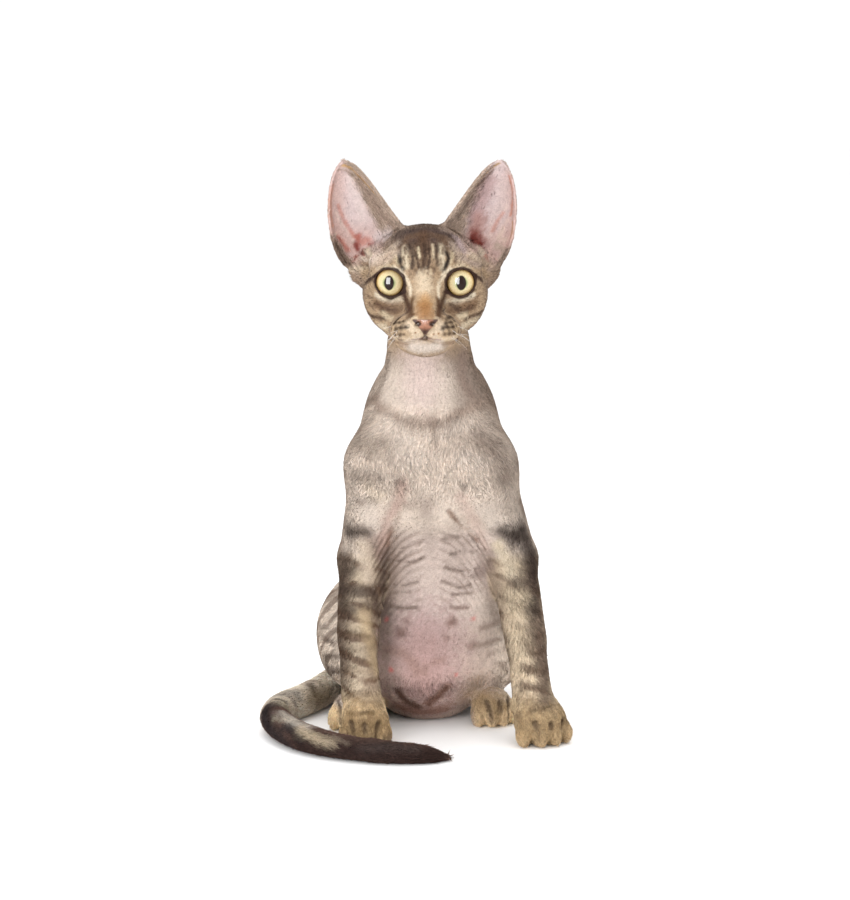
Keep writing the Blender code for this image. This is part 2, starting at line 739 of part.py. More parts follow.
def eye_ball(side, radius, name):
    mesh = bmesh.new()
    turn = Vector(gaze(side)).to_track_quat("Z", "Y").to_matrix().to_4x4()
    place = Matrix.Translation(eye_centre(side)) @ turn
    bmesh.ops.create_uvsphere(mesh, u_segments=24, v_segments=14, radius=radius, matrix=place)
    return object_from(mesh, name)


def eye_opening(side):
    """An oval wedge that opens the lids over the front of the eyeball."""
    mesh = bmesh.new()
    turn = Vector(gaze(side)).to_track_quat("Z", "Y").to_matrix().to_4x4()
    size = Matrix.Diagonal((APERTURE_WIDTH / 2, APERTURE_HEIGHT / 2, 1.0, 1.0))
    depth = 2.0 * EYE_RADIUS
    place = Matrix.Translation(eye_centre(side)) @ turn @ Matrix.Translation((0, 0, depth / 2)) @ size
    rims = {"radius1": OPENING_WITHIN, "radius2": OPENING_FLARE}
    bmesh.ops.create_cone(mesh, cap_ends=True, segments=32, depth=depth, matrix=place, **rims)
    return object_from(mesh, "opening")


def parted(whole):
    """The nodes of flesh, and the eyes in their sockets."""
    floor = solid_between(*prism(rectangle(-0.2, 0.2, -0.2, 0.2), -0.05, 0.0))
    cut(whole, object_from(floor, "floor"), "DIFFERENCE")
    nodes = {name: part_off(whole, name, rings) for name, rings in blocks()}
    keep_largest(whole)
    whole.name = "torso"
    nodes["torso"] = whole
    for side, name in ((1, "eye_left"), (-1, "eye_right")):
        cut(nodes["head"], eye_opening(side), "DIFFERENCE")
        cut(nodes["head"], eye_ball(side, EYE_RADIUS + GAP, "socket"), "DIFFERENCE")
        nodes[name] = eye_ball(side, EYE_RADIUS, name)
    keep_largest(nodes["head"])
    return nodes


def material(name, colour, roughness):
    made = bpy.data.materials.new(name)
    made.use_nodes = True
    shader = made.node_tree.nodes["Principled BSDF"]
    shader.inputs["Base Color"].default_value = (*colour, 1.0)
    shader.inputs["Roughness"].default_value = roughness
    return made


def paint(nodes):
    """Coat on all flesh, bare skin in the ears and on the nose, and wet eyes."""
    coat = material("coat", (0.30, 0.24, 0.20), 0.85)
    skin = material("bare_skin", (0.62, 0.42, 0.38), 0.60)
    leather = material("nose_leather", (0.30, 0.17, 0.15), 0.45)
    eye = material("eye", (0.55, 0.58, 0.25), 0.08)
    nose = Vector(head_place(0.0, -0.0945, 0.2312))
    for name, node in nodes.items():
        node.data.materials.clear()
        if name.startswith("eye"):
            node.data.materials.append(eye)
            continue
        node.data.materials.append(coat)
        if name.startswith("ear"):
            node.data.materials.append(skin)
            middle = sum((Vector(c) for c in node.bound_box), Vector()) / 8
            for face in node.data.polygons:
                inside = face.normal.y < -0.15 or face.normal.x * (middle.x - face.center.x) > 0.00001
                face.material_index = int(inside and face.normal.y < 0.3)
        if name == "head":
            node.data.materials.append(leather)
            for face in node.data.polygons:
                face.material_index = int((face.center - nose).length < NOSE_REACH)


def clear_scene():
    for stale in list(bpy.data.objects):
        bpy.data.objects.remove(stale)


clear_scene()
CAT = bpy.data.collections.new("devon_rex_cat")
bpy.context.scene.collection.children.link(CAT)

if __name__ == "__main__":
    SKIN = skinned(Cat())
    thin_out(SKIN, EVEN_TRIANGLES, keep_face=False)
    thin_out(SKIN, TARGET_TRIANGLES, keep_face=True)
    paint(parted(SKIN))
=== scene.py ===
"""A young Devon Rex cat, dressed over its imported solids: one skin, a short coat, eyes and whiskers.

Metres, in the frame of the CAD model. The cat faces -Y and its own left is +X. The clay below is the
same as in the part's source, so the skin lies just inside the solids by the depth of the coat.
"""

import math

import bmesh
import bpy
import numpy as np
from mathutils import Matrix, Vector
from mathutils.bvhtree import BVHTree


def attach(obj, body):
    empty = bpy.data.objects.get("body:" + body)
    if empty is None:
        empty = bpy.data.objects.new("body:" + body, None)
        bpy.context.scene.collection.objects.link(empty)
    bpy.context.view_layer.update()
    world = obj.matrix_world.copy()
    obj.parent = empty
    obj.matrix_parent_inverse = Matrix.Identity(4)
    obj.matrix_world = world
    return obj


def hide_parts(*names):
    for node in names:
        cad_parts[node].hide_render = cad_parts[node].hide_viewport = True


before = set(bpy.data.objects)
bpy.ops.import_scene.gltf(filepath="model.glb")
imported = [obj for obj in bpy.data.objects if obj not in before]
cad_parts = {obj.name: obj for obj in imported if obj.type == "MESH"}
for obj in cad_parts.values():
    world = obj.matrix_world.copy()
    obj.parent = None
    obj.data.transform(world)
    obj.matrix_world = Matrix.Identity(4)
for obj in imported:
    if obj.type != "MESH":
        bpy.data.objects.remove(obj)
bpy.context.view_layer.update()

# Driving dimensions
SKIN_VOXEL = 0.0011
FAR = 1.0
MELT_MARGIN = 0.018

BODY_X = 0.003
HEAD_X = 0.0001
HEAD_FLOOR = 0.195

EYE_RADIUS = 0.0093
EYE_SPACING = 0.0363
EYE_Y = -0.0650
EYE_Z = 0.2505
LID_THICKNESS = 0.0014
APERTURE_WIDTH = 0.0146
APERTURE_HEIGHT = 0.0138

EAR_INNER = (0.0100, -0.0490, 0.2760)
EAR_OUTER = (0.0410, -0.0440, 0.2560)
EAR_TIP = (0.0440, -0.0380, 0.3135)
EAR_DEPTH = 0.0150
EAR_THICKNESS = 0.0020
EAR_SINK = 0.0060
EAR_SPREAD = {1: 0.985, -1: 0.990}
EAR_SHIFT = {1: -0.0030, -1: 0.0}

HAUNCH_OUTER = {1: 0.0600, -1: -0.0615}

# Each foreleg runs from shoulder to paw. The cat's left one stands out to the side.
FORELEG = {
    1: {
        "shoulder": (0.0310, -0.0480, 0.1500),
        "elbow": (0.0485, -0.0290, 0.0960),
        "middle": (0.0550, -0.0455, 0.0540),
        "wrist": (0.0585, -0.0560, 0.0250),
        "paw": (0.0625, -0.0660, 0.0120),
        "toe_out": 24.0,
        "paw_half_width": 0.0160,
        "radii": (0.0125, 0.0110, 0.0115, 0.0120),
    },
    -1: {
        "shoulder": (-0.0245, -0.0480, 0.1500),
        "elbow": (-0.0345, -0.0290, 0.0960),
        "middle": (-0.0368, -0.0465, 0.0560),
        "wrist": (-0.0350, -0.0560, 0.0250),
        "paw": (-0.0325, -0.0680, 0.0115),
        "toe_out": 0.0,
        "paw_half_width": 0.0136,
        "radii": (0.0125, 0.0105, 0.0112, 0.0110),
    },
}
HINDLEG = {
    1: {"toes": (0.0375, -0.0215, 0.0098), "hock": (0.0330, 0.0400, 0.0130), "toe_out": 20.0},
    -1: {"toes": (-0.0405, -0.0335, 0.0098), "hock": (-0.0370, 0.0250, 0.0130), "toe_out": -3.0},
}
TAIL_ROUTE = [
    (0.000, 0.066, 0.0280),
    (-0.016, 0.0780, 0.0130),
    (-0.036, 0.0670, 0.0098),
    (-0.0515, 0.0410, 0.0092),
    (-0.0615, 0.0140, 0.0088),
    (-0.0705, -0.0050, 0.0086),
    (-0.0795, -0.0210, 0.0084),
    (-0.0825, -0.0420, 0.0082),
    (-0.0760, -0.0660, 0.0080),
    (-0.0625, -0.0870, 0.0075),
    (-0.0440, -0.1010, 0.0068),
    (-0.0220, -0.1090, 0.0060),
    (-0.0020, -0.1100, 0.0050),
    (0.0100, -0.1065, 0.0026),
]
TAIL_RADII = [0.0140, 0.0115, 0.0103, 0.0098, 0.0096, 0.0096, 0.0093]
TAIL_RADII += [0.0090, 0.0086, 0.0080, 0.0071, 0.0062, 0.0050, 0.0022]


def unit_ball():
    """Corners and faces of a ball of radius 1."""
    mesh = bmesh.new()
    bmesh.ops.create_uvsphere(mesh, u_segments=24, v_segments=16, radius=1.0)
    mesh.verts.index_update()
    corners = np.array([v.co for v in mesh.verts])
    faces = [[v.index for v in face.verts] for face in mesh.faces]
    mesh.free()
    return corners, faces


BALL_CORNERS, BALL_FACES = unit_ball()


class Ball:
    """An ellipsoid of clay. turn is its rotation about X, Y and Z in degrees."""

    def __init__(self, centre, radii, turn, melt):
        self.centre, self.radii, self.melt = np.array(centre), np.array(radii), melt
        x, y, z = (Matrix.Rotation(math.radians(a), 3, axis) for a, axis in zip(turn, "XYZ"))
        self.spin = np.array(z @ y @ x)
        reach = self.radii.max() + MELT_MARGIN
        self.low, self.high = self.centre - reach, self.centre + reach

    def field(self, places):
        local = (places - self.centre) @ self.spin
        outer = np.linalg.norm(local / self.radii, axis=1)
        inner = np.maximum(np.linalg.norm(local / self.radii**2, axis=1), 1e-9)
        return outer * (outer - 1.0) / inner

    def rough(self):
        return [self.centre + (BALL_CORNERS * self.radii) @ self.spin.T]


class Chain:
    """Round limbs end to end along a smooth curve through the points."""

    def __init__(self, points, radii, melt, steps=3):
        knots = np.column_stack([np.array(points), np.array(radii)])
        self.knots, self.melt = smooth_curve(knots, steps), melt
        reach = self.knots[:, 3].max() + MELT_MARGIN
        self.low = self.knots[:, :3].min(axis=0) - reach
        self.high = self.knots[:, :3].max(axis=0) + reach

    def field(self, places):
        total = np.full(len(places), FAR)
        for start, end in zip(self.knots[:-1], self.knots[1:]):
            total = np.minimum(total, limb_field(places, start, end))
        return total

    def rough(self):
        shapes = []
        for start, end in zip(self.knots[:-1], self.knots[1:]):
            turn = np.array(Vector(end[:3] - start[:3]).to_track_quat("Z", "Y").to_matrix())
            corners = BALL_CORNERS @ turn.T
            ahead = (BALL_CORNERS[:, 2] > 0)[:, None]
            shapes.append(np.where(ahead, end[:3] + corners * end[3], start[:3] + corners * start[3]))
        return shapes


def smooth_curve(knots, steps):
    """The knots with steps - 1 more between each two, on a Catmull-Rom curve."""
    ends = np.vstack([2 * knots[0] - knots[1], knots, 2 * knots[-1] - knots[-2]])
    curve = []
    for a, b, c, d in zip(ends[:-3], ends[1:-2], ends[2:-1], ends[3:]):
        for step in range(steps):
            t = step / steps
            bend = t * (2 * a - 5 * b + 4 * c - d + t * (3 * (b - c) + d - a))
            curve.append(b + 0.5 * t * (c - a + bend))
    return np.vstack([curve, knots[-1:]])


def limb_field(places, start, end):
    """Distance from a cone with round ends. start and end are each a place and a radius."""
    along = end[:3] - start[:3]
    length = max(float(np.linalg.norm(along)), 1e-6)
    axis = along / length
    taper = (start[3] - end[3]) / length
    slope = math.sqrt(max(1.0 - taper * taper, 1e-6))
    offset = places - start[:3]
    up = offset @ axis
    out = np.sqrt(np.maximum(np.einsum("ij,ij->i", offset, offset) - up * up, 0.0))
    lean = up * slope - out * taper
    first = np.hypot(out, up) - start[3]
    last = np.hypot(out, up - length) - end[3]
    side = out * slope + up * taper - start[3]
    return np.where(lean < 0.0, first, np.where(lean > length * slope, last, side))


class Clay:
    """Masses that melt into one another, read as a field that is negative inside."""

    def __init__(self):
        self.masses = []

    def ball(self, centre, radii, turn=(0.0, 0.0, 0.0), melt=0.010):
        self.masses.append(Ball(centre, radii, turn, melt))
        return self

    def chain(self, points, radii, melt=0.010):
        self.masses.append(Chain(points, radii, melt))
        return self

    def field(self, places):
        """Distance of each place from the melted masses, in metres. Far places get FAR."""
        total = np.full(len(places), FAR)
        for mass in self.masses:
            close = np.flatnonzero(np.all((places > mass.low) & (places < mass.high), axis=1))
            total[close] = melted(total[close], mass.field(places[close]), mass.melt)
        return total


def melted(a, b, reach):
    """The smaller of two fields, rounded where they meet within reach."""
    near = np.maximum(reach - np.abs(a - b), 0.0) / reach
    return np.minimum(a, b) - near * near * reach * 0.25


def carved(a, b, reach):
    """Field a with the shape of field b cut away, its rim rounded within reach."""
    return -melted(-a, b, reach)


def trunk_clay():
    """Rib cage, belly, rump, back, breast and neck, with the roots of the legs."""
    clay = Clay()
    clay.ball((BODY_X, -0.006, 0.122), (0.0355, 0.042, 0.060), (20, 0, 0), 0.014)
    clay.ball((0.0035, 0.004, 0.054), (0.0440, 0.040, 0.054), (4, 0, 0), 0.016)
    clay.ball((0.000, -0.001, 0.031), (0.0350, 0.036, 0.0325), (0, 0, 0), 0.014)
    clay.ball((0.0235, 0.001, 0.058), (0.0255, 0.031, 0.0420), (0, 14, 0), 0.014)
    clay.ball((0.001, 0.044, 0.040), (0.044, 0.041, 0.0415), (0, 0, 0), 0.016)
    back = [(BODY_X + 0.001, -0.012, 0.180), (BODY_X, 0.018, 0.138)]
    back += [(0.001, 0.044, 0.088), (0.001, 0.056, 0.045)]
    clay.chain(back, (0.020, 0.027, 0.032, 0.030), 0.014)
    clay.ball((BODY_X, -0.046, 0.150), (0.029, 0.021, 0.036), (0, 0, 0), 0.014)
    neck = [(BODY_X, -0.026, 0.178), (0.0022, -0.034, 0.208), (0.0005, -0.042, 0.240)]
    clay.chain(neck, (0.0315, 0.0235, 0.0202), 0.012)
    for side in (1, -1):
        shoulder_clay(clay, side)
        haunch_clay(clay, side)
    return clay


def shoulder_clay(clay, side):
    leg = FORELEG[side]
    scapula = (BODY_X + side * 0.0150, -0.010, 0.186)
    clay.chain([scapula, leg["shoulder"]], (0.0140, 0.0170), 0.016)
    clay.chain([leg["shoulder"], leg["elbow"]], (0.0165, 0.0135), 0.014)
    fold_x = leg["elbow"][0] - side * 0.0120
    fold = [(fold_x - side * 0.002, -0.0190, 0.1000), (fold_x, -0.0215, 0.0790)]
    clay.chain(fold, (0.0120, 0.0085), 0.010)


def haunch_clay(clay, side):
    """Thigh, and the knee ahead of it."""
    centre_x = HAUNCH_OUTER[side] - side * 0.0235
    clay.ball((centre_x, 0.023, 0.0430), (0.0235, 0.039, 0.0320), (22, 0, side * 6), 0.012)
    knee = [(centre_x + side * 0.003, -0.0035, 0.0360), (centre_x, 0.018, 0.0450)]
    clay.chain(knee, (0.0160, 0.0200), 0.010)


def foreleg_clay(side):
    """Forearm, wrist and paw. The forearm is deeper than it is wide near the elbow."""
    leg = FORELEG[side]
    clay = Clay()
    clay.chain([leg[k] for k in ("elbow", "middle", "wrist", "paw")], leg["radii"], 0.010)
    behind = (leg["elbow"][0], leg["elbow"][1] + 0.006, leg["elbow"][2] - 0.006)
    clay.chain([behind, leg["middle"]], (0.0095, 0.0080), 0.010)
    dewclaw = Vector(leg["wrist"]) + Vector((-side * 0.0095, -0.0030, -0.0060))
    clay.ball(dewclaw, (0.0034, 0.0042, 0.0050), (20, 0, 0), 0.003)
    add_paw(clay, leg["paw"], leg["toe_out"], leg["paw_half_width"], 0.0078)
    return clay


def hindfoot_clay(side):
    """The long foot, flat on the floor, and the hock behind it."""
    leg = HINDLEG[side]
    clay = Clay()
    toes, hock = Vector(leg["toes"]), Vector(leg["hock"])
    clay.chain([hock, toes], (0.0085, 0.0095), 0.008)
    shin = [hock + Vector((0, 0.002, 0.010)), hock + Vector((0, -0.022, 0.024))]
    clay.chain(shin, (0.0085, 0.0105), 0.008)
    add_paw(clay, leg["toes"], leg["toe_out"], 0.0122, 0.0070)
    return clay


def add_paw(clay, centre, toe_out, half_width, reach):
    """The ball of a foot and its four toes, which fan out and reach further in the middle."""
    clay.ball(centre, (half_width * 0.92, 0.0140, centre[2] + 0.0010), (0, 0, toe_out), 0.006)
    turn = Matrix.Rotation(math.radians(toe_out), 3, "Z")
    for k, across in enumerate((-0.74, -0.25, 0.25, 0.74)):
        held_back = 0.0 if k in (1, 2) else 0.0042
        place = Vector(centre) + turn @ Vector((across * half_width, held_back - reach, 0.0062 - centre[2]))
        clay.ball(place, (0.0048, 0.0080, 0.0074), (12, 0, toe_out + across * 14.0), 0.0022)


def tail_clay():
    return Clay().chain(TAIL_ROUTE, TAIL_RADII, 0.006)


def head_place(x, y, z):
    return (HEAD_X + x, y, z)


def head_clay():
    """Wedge-shaped head: round skull, wide cheekbones, short muzzle and a marked stop."""
    clay = Clay()
    clay.ball(head_place(0, -0.0455, 0.2550), (0.0290, 0.0315, 0.0255), (0, 0, 0), 0.010)
    clay.ball(head_place(0, -0.0590, 0.2620), (0.0215, 0.0165, 0.0150), (0, 0, 0), 0.008)
    for side in (1, -1):
        clay.ball(head_place(side * 0.0205, -0.0540, 0.2440), (0.0130, 0.0185, 0.0125), (0, 0, 0), 0.010)
        brow = [head_place(side * 0.0070, -0.0700, 0.2590), head_place(side * 0.0240, -0.0610, 0.2610)]
        clay.chain(brow, (0.0055, 0.0060), 0.006)
        jaw = [head_place(side * 0.0170, -0.0560, 0.2340), head_place(side * 0.0085, -0.0790, 0.2235)]
        clay.chain(jaw, (0.0115, 0.0085), 0.010)
        pad = head_place(side * 0.0090, -0.0835, 0.2265)
        clay.ball(pad, (0.0094, 0.0086, 0.0074), (0, 0, side * 12), 0.0060)
        clay.ball(head_place(side * 0.0325, -0.0375, 0.2550), (0.0080, 0.0095, 0.0075), (0, 0, 0), 0.010)
        clay.ball(head_place(side * 0.0215, -0.0300, 0.2550), (0.0120, 0.0110, 0.0140), (0, 0, 0), 0.012)
    clay.chain([head_place(0, -0.0660, 0.2500), head_place(0, -0.0875, 0.2345)], (0.0105, 0.0070), 0.008)
    clay.ball(head_place(0, -0.0905, 0.2318), (0.0062, 0.0058, 0.0048), (-20, 0, 0), 0.0025)
    clay.ball(head_place(0, -0.0815, 0.2198), (0.0110, 0.0082, 0.0060), (0, 0, 0), 0.004)
    clay.chain([head_place(0, -0.0765, 0.2225), head_place(0, -0.0500, 0.2290)], (0.0075, 0.0145), 0.010)
    return clay


def eye_centre(side):
    return np.array(head_place(side * EYE_SPACING / 2, EYE_Y, EYE_Z))


def gaze(side):
    """Each eye looks ahead and a little outwards."""
    return np.array(Vector((side * 0.10, -1.0, 0.02)).normalized())


def with_lids(field, places):
    """Lids over each eyeball, closed until the eye's opening is cut."""
    for side in (1, -1):
        lid = np.linalg.norm(places - eye_centre(side), axis=1) - (EYE_RADIUS + LID_THICKNESS)
        field = melted(field, lid, 0.005)
    return field


MOUTH_LINE = [(0.0, 0.2232), (0.0050, 0.2212), (0.0100, 0.2200), (0.0150, 0.2206), (0.0185, 0.2228)]
PHILTRUM = [(0.0, 0.2275), (0.0, 0.2228)]


def line_distance(places, line, side):
    """Distance in the frontal plane from a line given for the cat's left."""
    flat = np.stack([(places[:, 0] - HEAD_X) * side, places[:, 2]], axis=1)
    nearest = np.full(len(places), FAR)
    for start, end in zip(np.array(line[:-1]), np.array(line[1:])):
        along = end - start
        share = np.clip((flat - start) @ along / (along @ along), 0.0, 1.0)
        nearest = np.minimum(nearest, np.linalg.norm(flat - start - share[:, None] * along, axis=1))
    return nearest


def with_face_lines(field, places):
    """Mouth line, philtrum and nostrils."""
    front = np.clip((-0.0660 - places[:, 1]) / 0.008, 0.0, 1.0)
    for side in (1, -1):
        mouth = line_distance(places, MOUTH_LINE, side)
        field = field + 0.0011 * front * np.exp(-((mouth / 0.0009) ** 2))
        place = head_place(side * 0.0040, -0.0955, 0.2308)
        nostril = Ball(place, (0.0020, 0.0034, 0.0011), (0, side * 35, 0), 0.0)
        field = carved(field, nostril.field(places), 0.0008)
    groove = line_distance(places, PHILTRUM, 1)
    return field + 0.0008 * front * np.exp(-((groove / 0.0008) ** 2))


def bezier(points, share):
    """A point on the cubic curve with these four control points."""
    a, b, c, d = (Vector(p) for p in points)
    rest = 1.0 - share
    return a * rest**3 + b * 3 * rest**2 * share + c * 3 * rest * share**2 + d * share**3


def ear_sheet(side, rungs=20, columns=16):
    """The open cup of one ear: rungs from its inner to its outer edge, bowed backwards."""
    inner, outer, tip = (Vector(p) for p in (EAR_INNER, EAR_OUTER, EAR_TIP))
    axis = (tip - (inner + outer) / 2).normalized()
    inner_pull, outer_pull = Vector((0.0140, 0.0020, 0.0150)), Vector((0.0155, 0.0040, 0.0100))
    inner_edge = (inner, inner + inner_pull, tip + Vector((-0.0105, 0.0, -0.0020)), tip)
    outer_edge = (outer, outer + outer_pull, tip + Vector((0.0110, 0.0, -0.0050)), tip)
    mesh = bmesh.new()
    rows = []
    for rung in range(-1, rungs + 1):
        rise = 1.0 - (1.0 - max(rung, 0) / rungs) ** 1.25
        left, right = bezier(inner_edge, rise), bezier(outer_edge, rise)
        half = (right - left) / 2
        across = half.normalized() if half.length > 1e-6 else Vector((1, 0, 0))
        back = across.cross(axis).normalized()
        if back.y < 0:
            back = -back
        depth = EAR_DEPTH * min(1.0, half.length / 0.019) ** 1.15
        row = []
        for column in range(columns + 1):
            angle = math.pi * (column / columns - 0.5)
            place = (left + right) / 2 + half * math.sin(angle) + back * depth * math.cos(angle)
            if rung < 0:
                place -= axis * EAR_SINK
            beside = place.x * EAR_SPREAD[side] + EAR_SHIFT[side]
            row.append(mesh.verts.new((HEAD_X + side * beside, place.y, place.z)))
        rows.append(row)
    for lower, upper in zip(rows[:-1], rows[1:]):
        for k in range(columns):
            corners = (lower[k], lower[k + 1], upper[k + 1], upper[k])
            mesh.faces.new(corners if side < 0 else corners[::-1])
    bmesh.ops.remove_doubles(mesh, verts=mesh.verts, dist=0.00005)
    return mesh


def ear_tree(side):
    """The ear's middle sheet, to be asked for the nearest place on it."""
    mesh = ear_sheet(side)
    tree = BVHTree.FromBMesh(mesh)
    mesh.free()
    return tree


def ear_field(places, tree):
    """Distance from a sheet of the ear's thickness."""
    near = [tree.find_nearest(Vector(place))[3] for place in places]
    return np.array(near) - EAR_THICKNESS / 2


def with_ears(field, places, trees):
    """Each ear, and the bowl that goes down into the head in front of it."""
    for side, tree in trees.items():
        beside = (places[:, 0] - HEAD_X) * side
        near = np.flatnonzero((beside > 0.004) & (places[:, 2] > 0.243) & (places[:, 1] > -0.062))
        if not len(near):
            continue
        local = places[near]
        value = carved(field[near], EAR_BOWL[side].field(local), 0.003)
        field[near] = melted(value, ear_field(local, tree), 0.004)
    return field


EAR_BOWL = {
    side: Ball(head_place(side * 0.0265, -0.0455, 0.2685), (0.0125, 0.0080, 0.0080), (0, side * 36, 0), 0.0)
    for side in (1, -1)
}


class Cat:
    """The whole animal's clay, made once."""

    def __init__(self):
        self.trunk, self.head, self.tail = trunk_clay(), head_clay(), tail_clay()
        self.legs = [foreleg_clay(side) for side in (1, -1)]
        self.feet = [hindfoot_clay(side) for side in (1, -1)]
        self.ears = {side: ear_tree(side) for side in (1, -1)}

    def head_field(self, places):
        """The head with its lids, lines and ears, for the places near it."""
        total = np.full(len(places), FAR)
        near = np.flatnonzero((places[:, 2] > HEAD_FLOOR) & (places[:, 1] < 0.012))
        local = places[near]
        value = with_face_lines(with_lids(self.head.field(local), local), local)
        total[near] = with_ears(value, local, self.ears)
        return total

    def field(self, places):
        total = melted(self.trunk.field(places), self.head_field(places), 0.008)
        for leg in self.legs:
            total = melted(total, leg.field(places), 0.006)
        for foot in self.feet:
            total = melted(total, foot.field(places), 0.005)
        return melted(total, self.tail.field(places), 0.002)

    def rough(self):
        """All the masses as overlapping balls and limbs, in one object; make_skin adds the thick ear sheets to it."""
        lid = EYE_RADIUS + LID_THICKNESS
        masses = [Ball(eye_centre(side), (lid, lid, lid), (0, 0, 0), 0.0) for side in (1, -1)]
        for clay in [self.trunk, self.head, self.tail, *self.legs, *self.feet]:
            masses += clay.masses
        shapes = [shape for mass in masses for shape in mass.rough()]
        count = len(BALL_CORNERS)
        faces = [[k * count + corner for corner in face] for k in range(len(shapes)) for face in BALL_FACES]
        data = bpy.data.meshes.new("rough_body")
        data.from_pydata(np.vstack(shapes), [], faces)
        made = bpy.data.objects.new("rough_body", data)
        bpy.context.scene.collection.objects.link(made)
        return made



# Coat and skin
FACE_CUTS = 2
DRAW_ROUNDS = (0.8, 0.6, 0.5, 0.35, 0.25, 0.1, 0.0)
TAIL_KNOTS = smooth_curve(np.column_stack([np.array(TAIL_ROUTE), np.array(TAIL_RADII)]), 3)
LEG_REACH = 0.0035
SCENE = bpy.context.scene
FLESH = [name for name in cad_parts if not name.startswith("eye")]


def srgb(red, green, blue):
    """A colour given as it shows, 0 to 255, in linear light."""
    level = np.array([red, green, blue]) / 255.0
    return np.where(level <= 0.04045, level / 12.92, ((level + 0.055) / 1.055) ** 2.4)


def ramp(value, low, high):
    """0 below low, 1 above high, smooth between. low may be above high."""
    share = np.clip((value - low) / (high - low), 0.0, 1.0)
    return share * share * (3.0 - 2.0 * share)


def lattice(cells, seed):
    """A number from 0 to 1 for each cell of a lattice, always the same."""
    cells = cells.astype(np.int64)
    mixed = cells[:, 0] * 73856093 ^ cells[:, 1] * 19349663 ^ cells[:, 2] * 83492791 ^ seed * 2654435761
    mixed = (mixed ^ (mixed >> 13)) * 1274126177 & 0xFFFFFFFF
    mixed = (mixed ^ (mixed >> 16)) * 2246822519 & 0xFFFFFFFF
    return ((mixed ^ (mixed >> 15)) & 0xFFFFFF) / 0xFFFFFF


def noise(places, size, seed=0):
    """Smooth noise from -1 to 1, its lumps about size metres across."""
    scaled = places / size + 1000.0
    base = np.floor(scaled)
    part = scaled - base
    part = part * part * (3.0 - 2.0 * part)
    total = np.zeros(len(places))
    for corner in np.ndindex(2, 2, 2):
        share = np.prod(np.where(corner, part, 1.0 - part), axis=1)
        total += share * lattice(base + corner, seed)
    return total * 2.0 - 1.0


def polyline_distance(places, points, limit):
    """Distance from a line in space, and how far along it, from 0 to 1. Far places get limit."""
    points = np.array(points)
    nearest = np.full(len(places), limit)
    along_all = np.zeros(len(places))
    close = np.flatnonzero(np.all((places > points.min(0) - limit) & (places < points.max(0) + limit), axis=1))
    local = places[close]
    best, best_along = nearest[close], along_all[close]
    if len(points) == 1:
        points = np.vstack([points, points + 0.00001])
    count = len(points) - 1
    for k, (start, end) in enumerate(zip(points[:-1], points[1:])):
        along = end - start
        share = np.clip((local - start) @ along / max(along @ along, 1e-12), 0.0, 1.0)
        distance = np.linalg.norm(local - start - share[:, None] * along, axis=1)
        better = distance < best
        best = np.where(better, distance, best)
        best_along = np.where(better, (k + share) / count, best_along)
    nearest[close], along_all[close] = best, best_along
    return nearest, along_all


def near_tail(places):
    """Distance from the tail's skin, and the knot of its route that is nearest."""
    gap = np.full(len(places), FAR)
    knot = np.zeros(len(places), dtype=int)
    low = np.flatnonzero(places[:, 2] < 0.045)
    for start in range(0, len(low), 20000):
        part = low[start : start + 20000]
        away = np.linalg.norm(places[part, None, :] - TAIL_KNOTS[None, :, :3], axis=2) - TAIL_KNOTS[:, 3]
        knot[part] = away.argmin(axis=1)
        gap[part] = away.min(axis=1)
    return gap, knot


def coat_depth(places):
    """How deep the skin lies under the solids' surface."""
    x, y, z = places.T
    depth = np.full(len(places), 0.0010)
    head = ramp(z, 0.200, 0.222)
    depth = depth * (1.0 - head) + 0.0005 * head
    ear = ramp(z - 0.2900 + np.abs(x - HEAD_X) * 0.80, -0.003, 0.003)
    depth = depth * (1.0 - ear) + 0.00035 * ear
    nose = ramp(np.linalg.norm(places - np.array(head_place(0, -0.0940, 0.2315)), axis=1), 0.010, 0.006)
    depth = depth * (1.0 - nose) + 0.0001 * nose
    throat = ramp(y, -0.030, -0.045) * ramp(z, 0.165, 0.180) * ramp(z, 0.222, 0.212)
    depth = depth * (1.0 - 0.6 * throat)
    belly = ramp(y, -0.012, -0.030) * ramp(z, 0.130, 0.110) * ramp(np.abs(x - BODY_X), 0.040, 0.030)
    depth = depth * (1.0 - 0.5 * belly)
    return depth


# Folds of the skin at the armpits and flanks: width and depth in mm, and places along the fold in mm
FOLDS = [
    (1.6, .9, (-13.5, -68, 144.5, -18, -60.5, 128.5, -22.5, -48.5, 111.5, -24.5, -41.5, 96.5)),
    (1.3, .7, (-10, -60, 127, -16.5, -51.5, 117.5, -21.5, -44, 105)),
    (1.6, .8, (19, -63, 133, 27, -53, 120.5, 35.5, -46.5, 108.5, 37, -40, 96)),
    (1.2, .7, (11.5, -60.5, 126, 20.5, -46, 113.5, 30, -39, 104)),
    (1.2, .5, (-22, -42.5, 103, -12.5, -41, 104, -2.5, -46.5, 107.5)),
    (1.2, .5, (8, -43, 102, 19, -36.5, 99, 30, -37.5, 102)),
]


def toe_lines(acrosses, profile):
    """A line over each foot for each share of its half width, from (ahead, height) pairs."""
    feet = [(FORELEG[s]["paw"], FORELEG[s]["toe_out"], FORELEG[s]["paw_half_width"], 0.0078) for s in (1, -1)]
    feet += [(HINDLEG[s]["toes"], HINDLEG[s]["toe_out"], 0.0122, 0.0070) for s in (1, -1)]
    lines = []
    for centre, toe_out, half_width, reach in feet:
        turn = Matrix.Rotation(math.radians(toe_out), 3, "Z")
        for across in acrosses:
            held_back = 0.0042 * max(0.0, abs(across) - 0.25) / 0.49
            line = []
            for ahead, height in profile:
                step = turn @ Vector((across * half_width, held_back - reach - ahead, height - centre[2]))
                line.append(tuple(Vector(centre) + step))
            lines.append(line)
    return lines


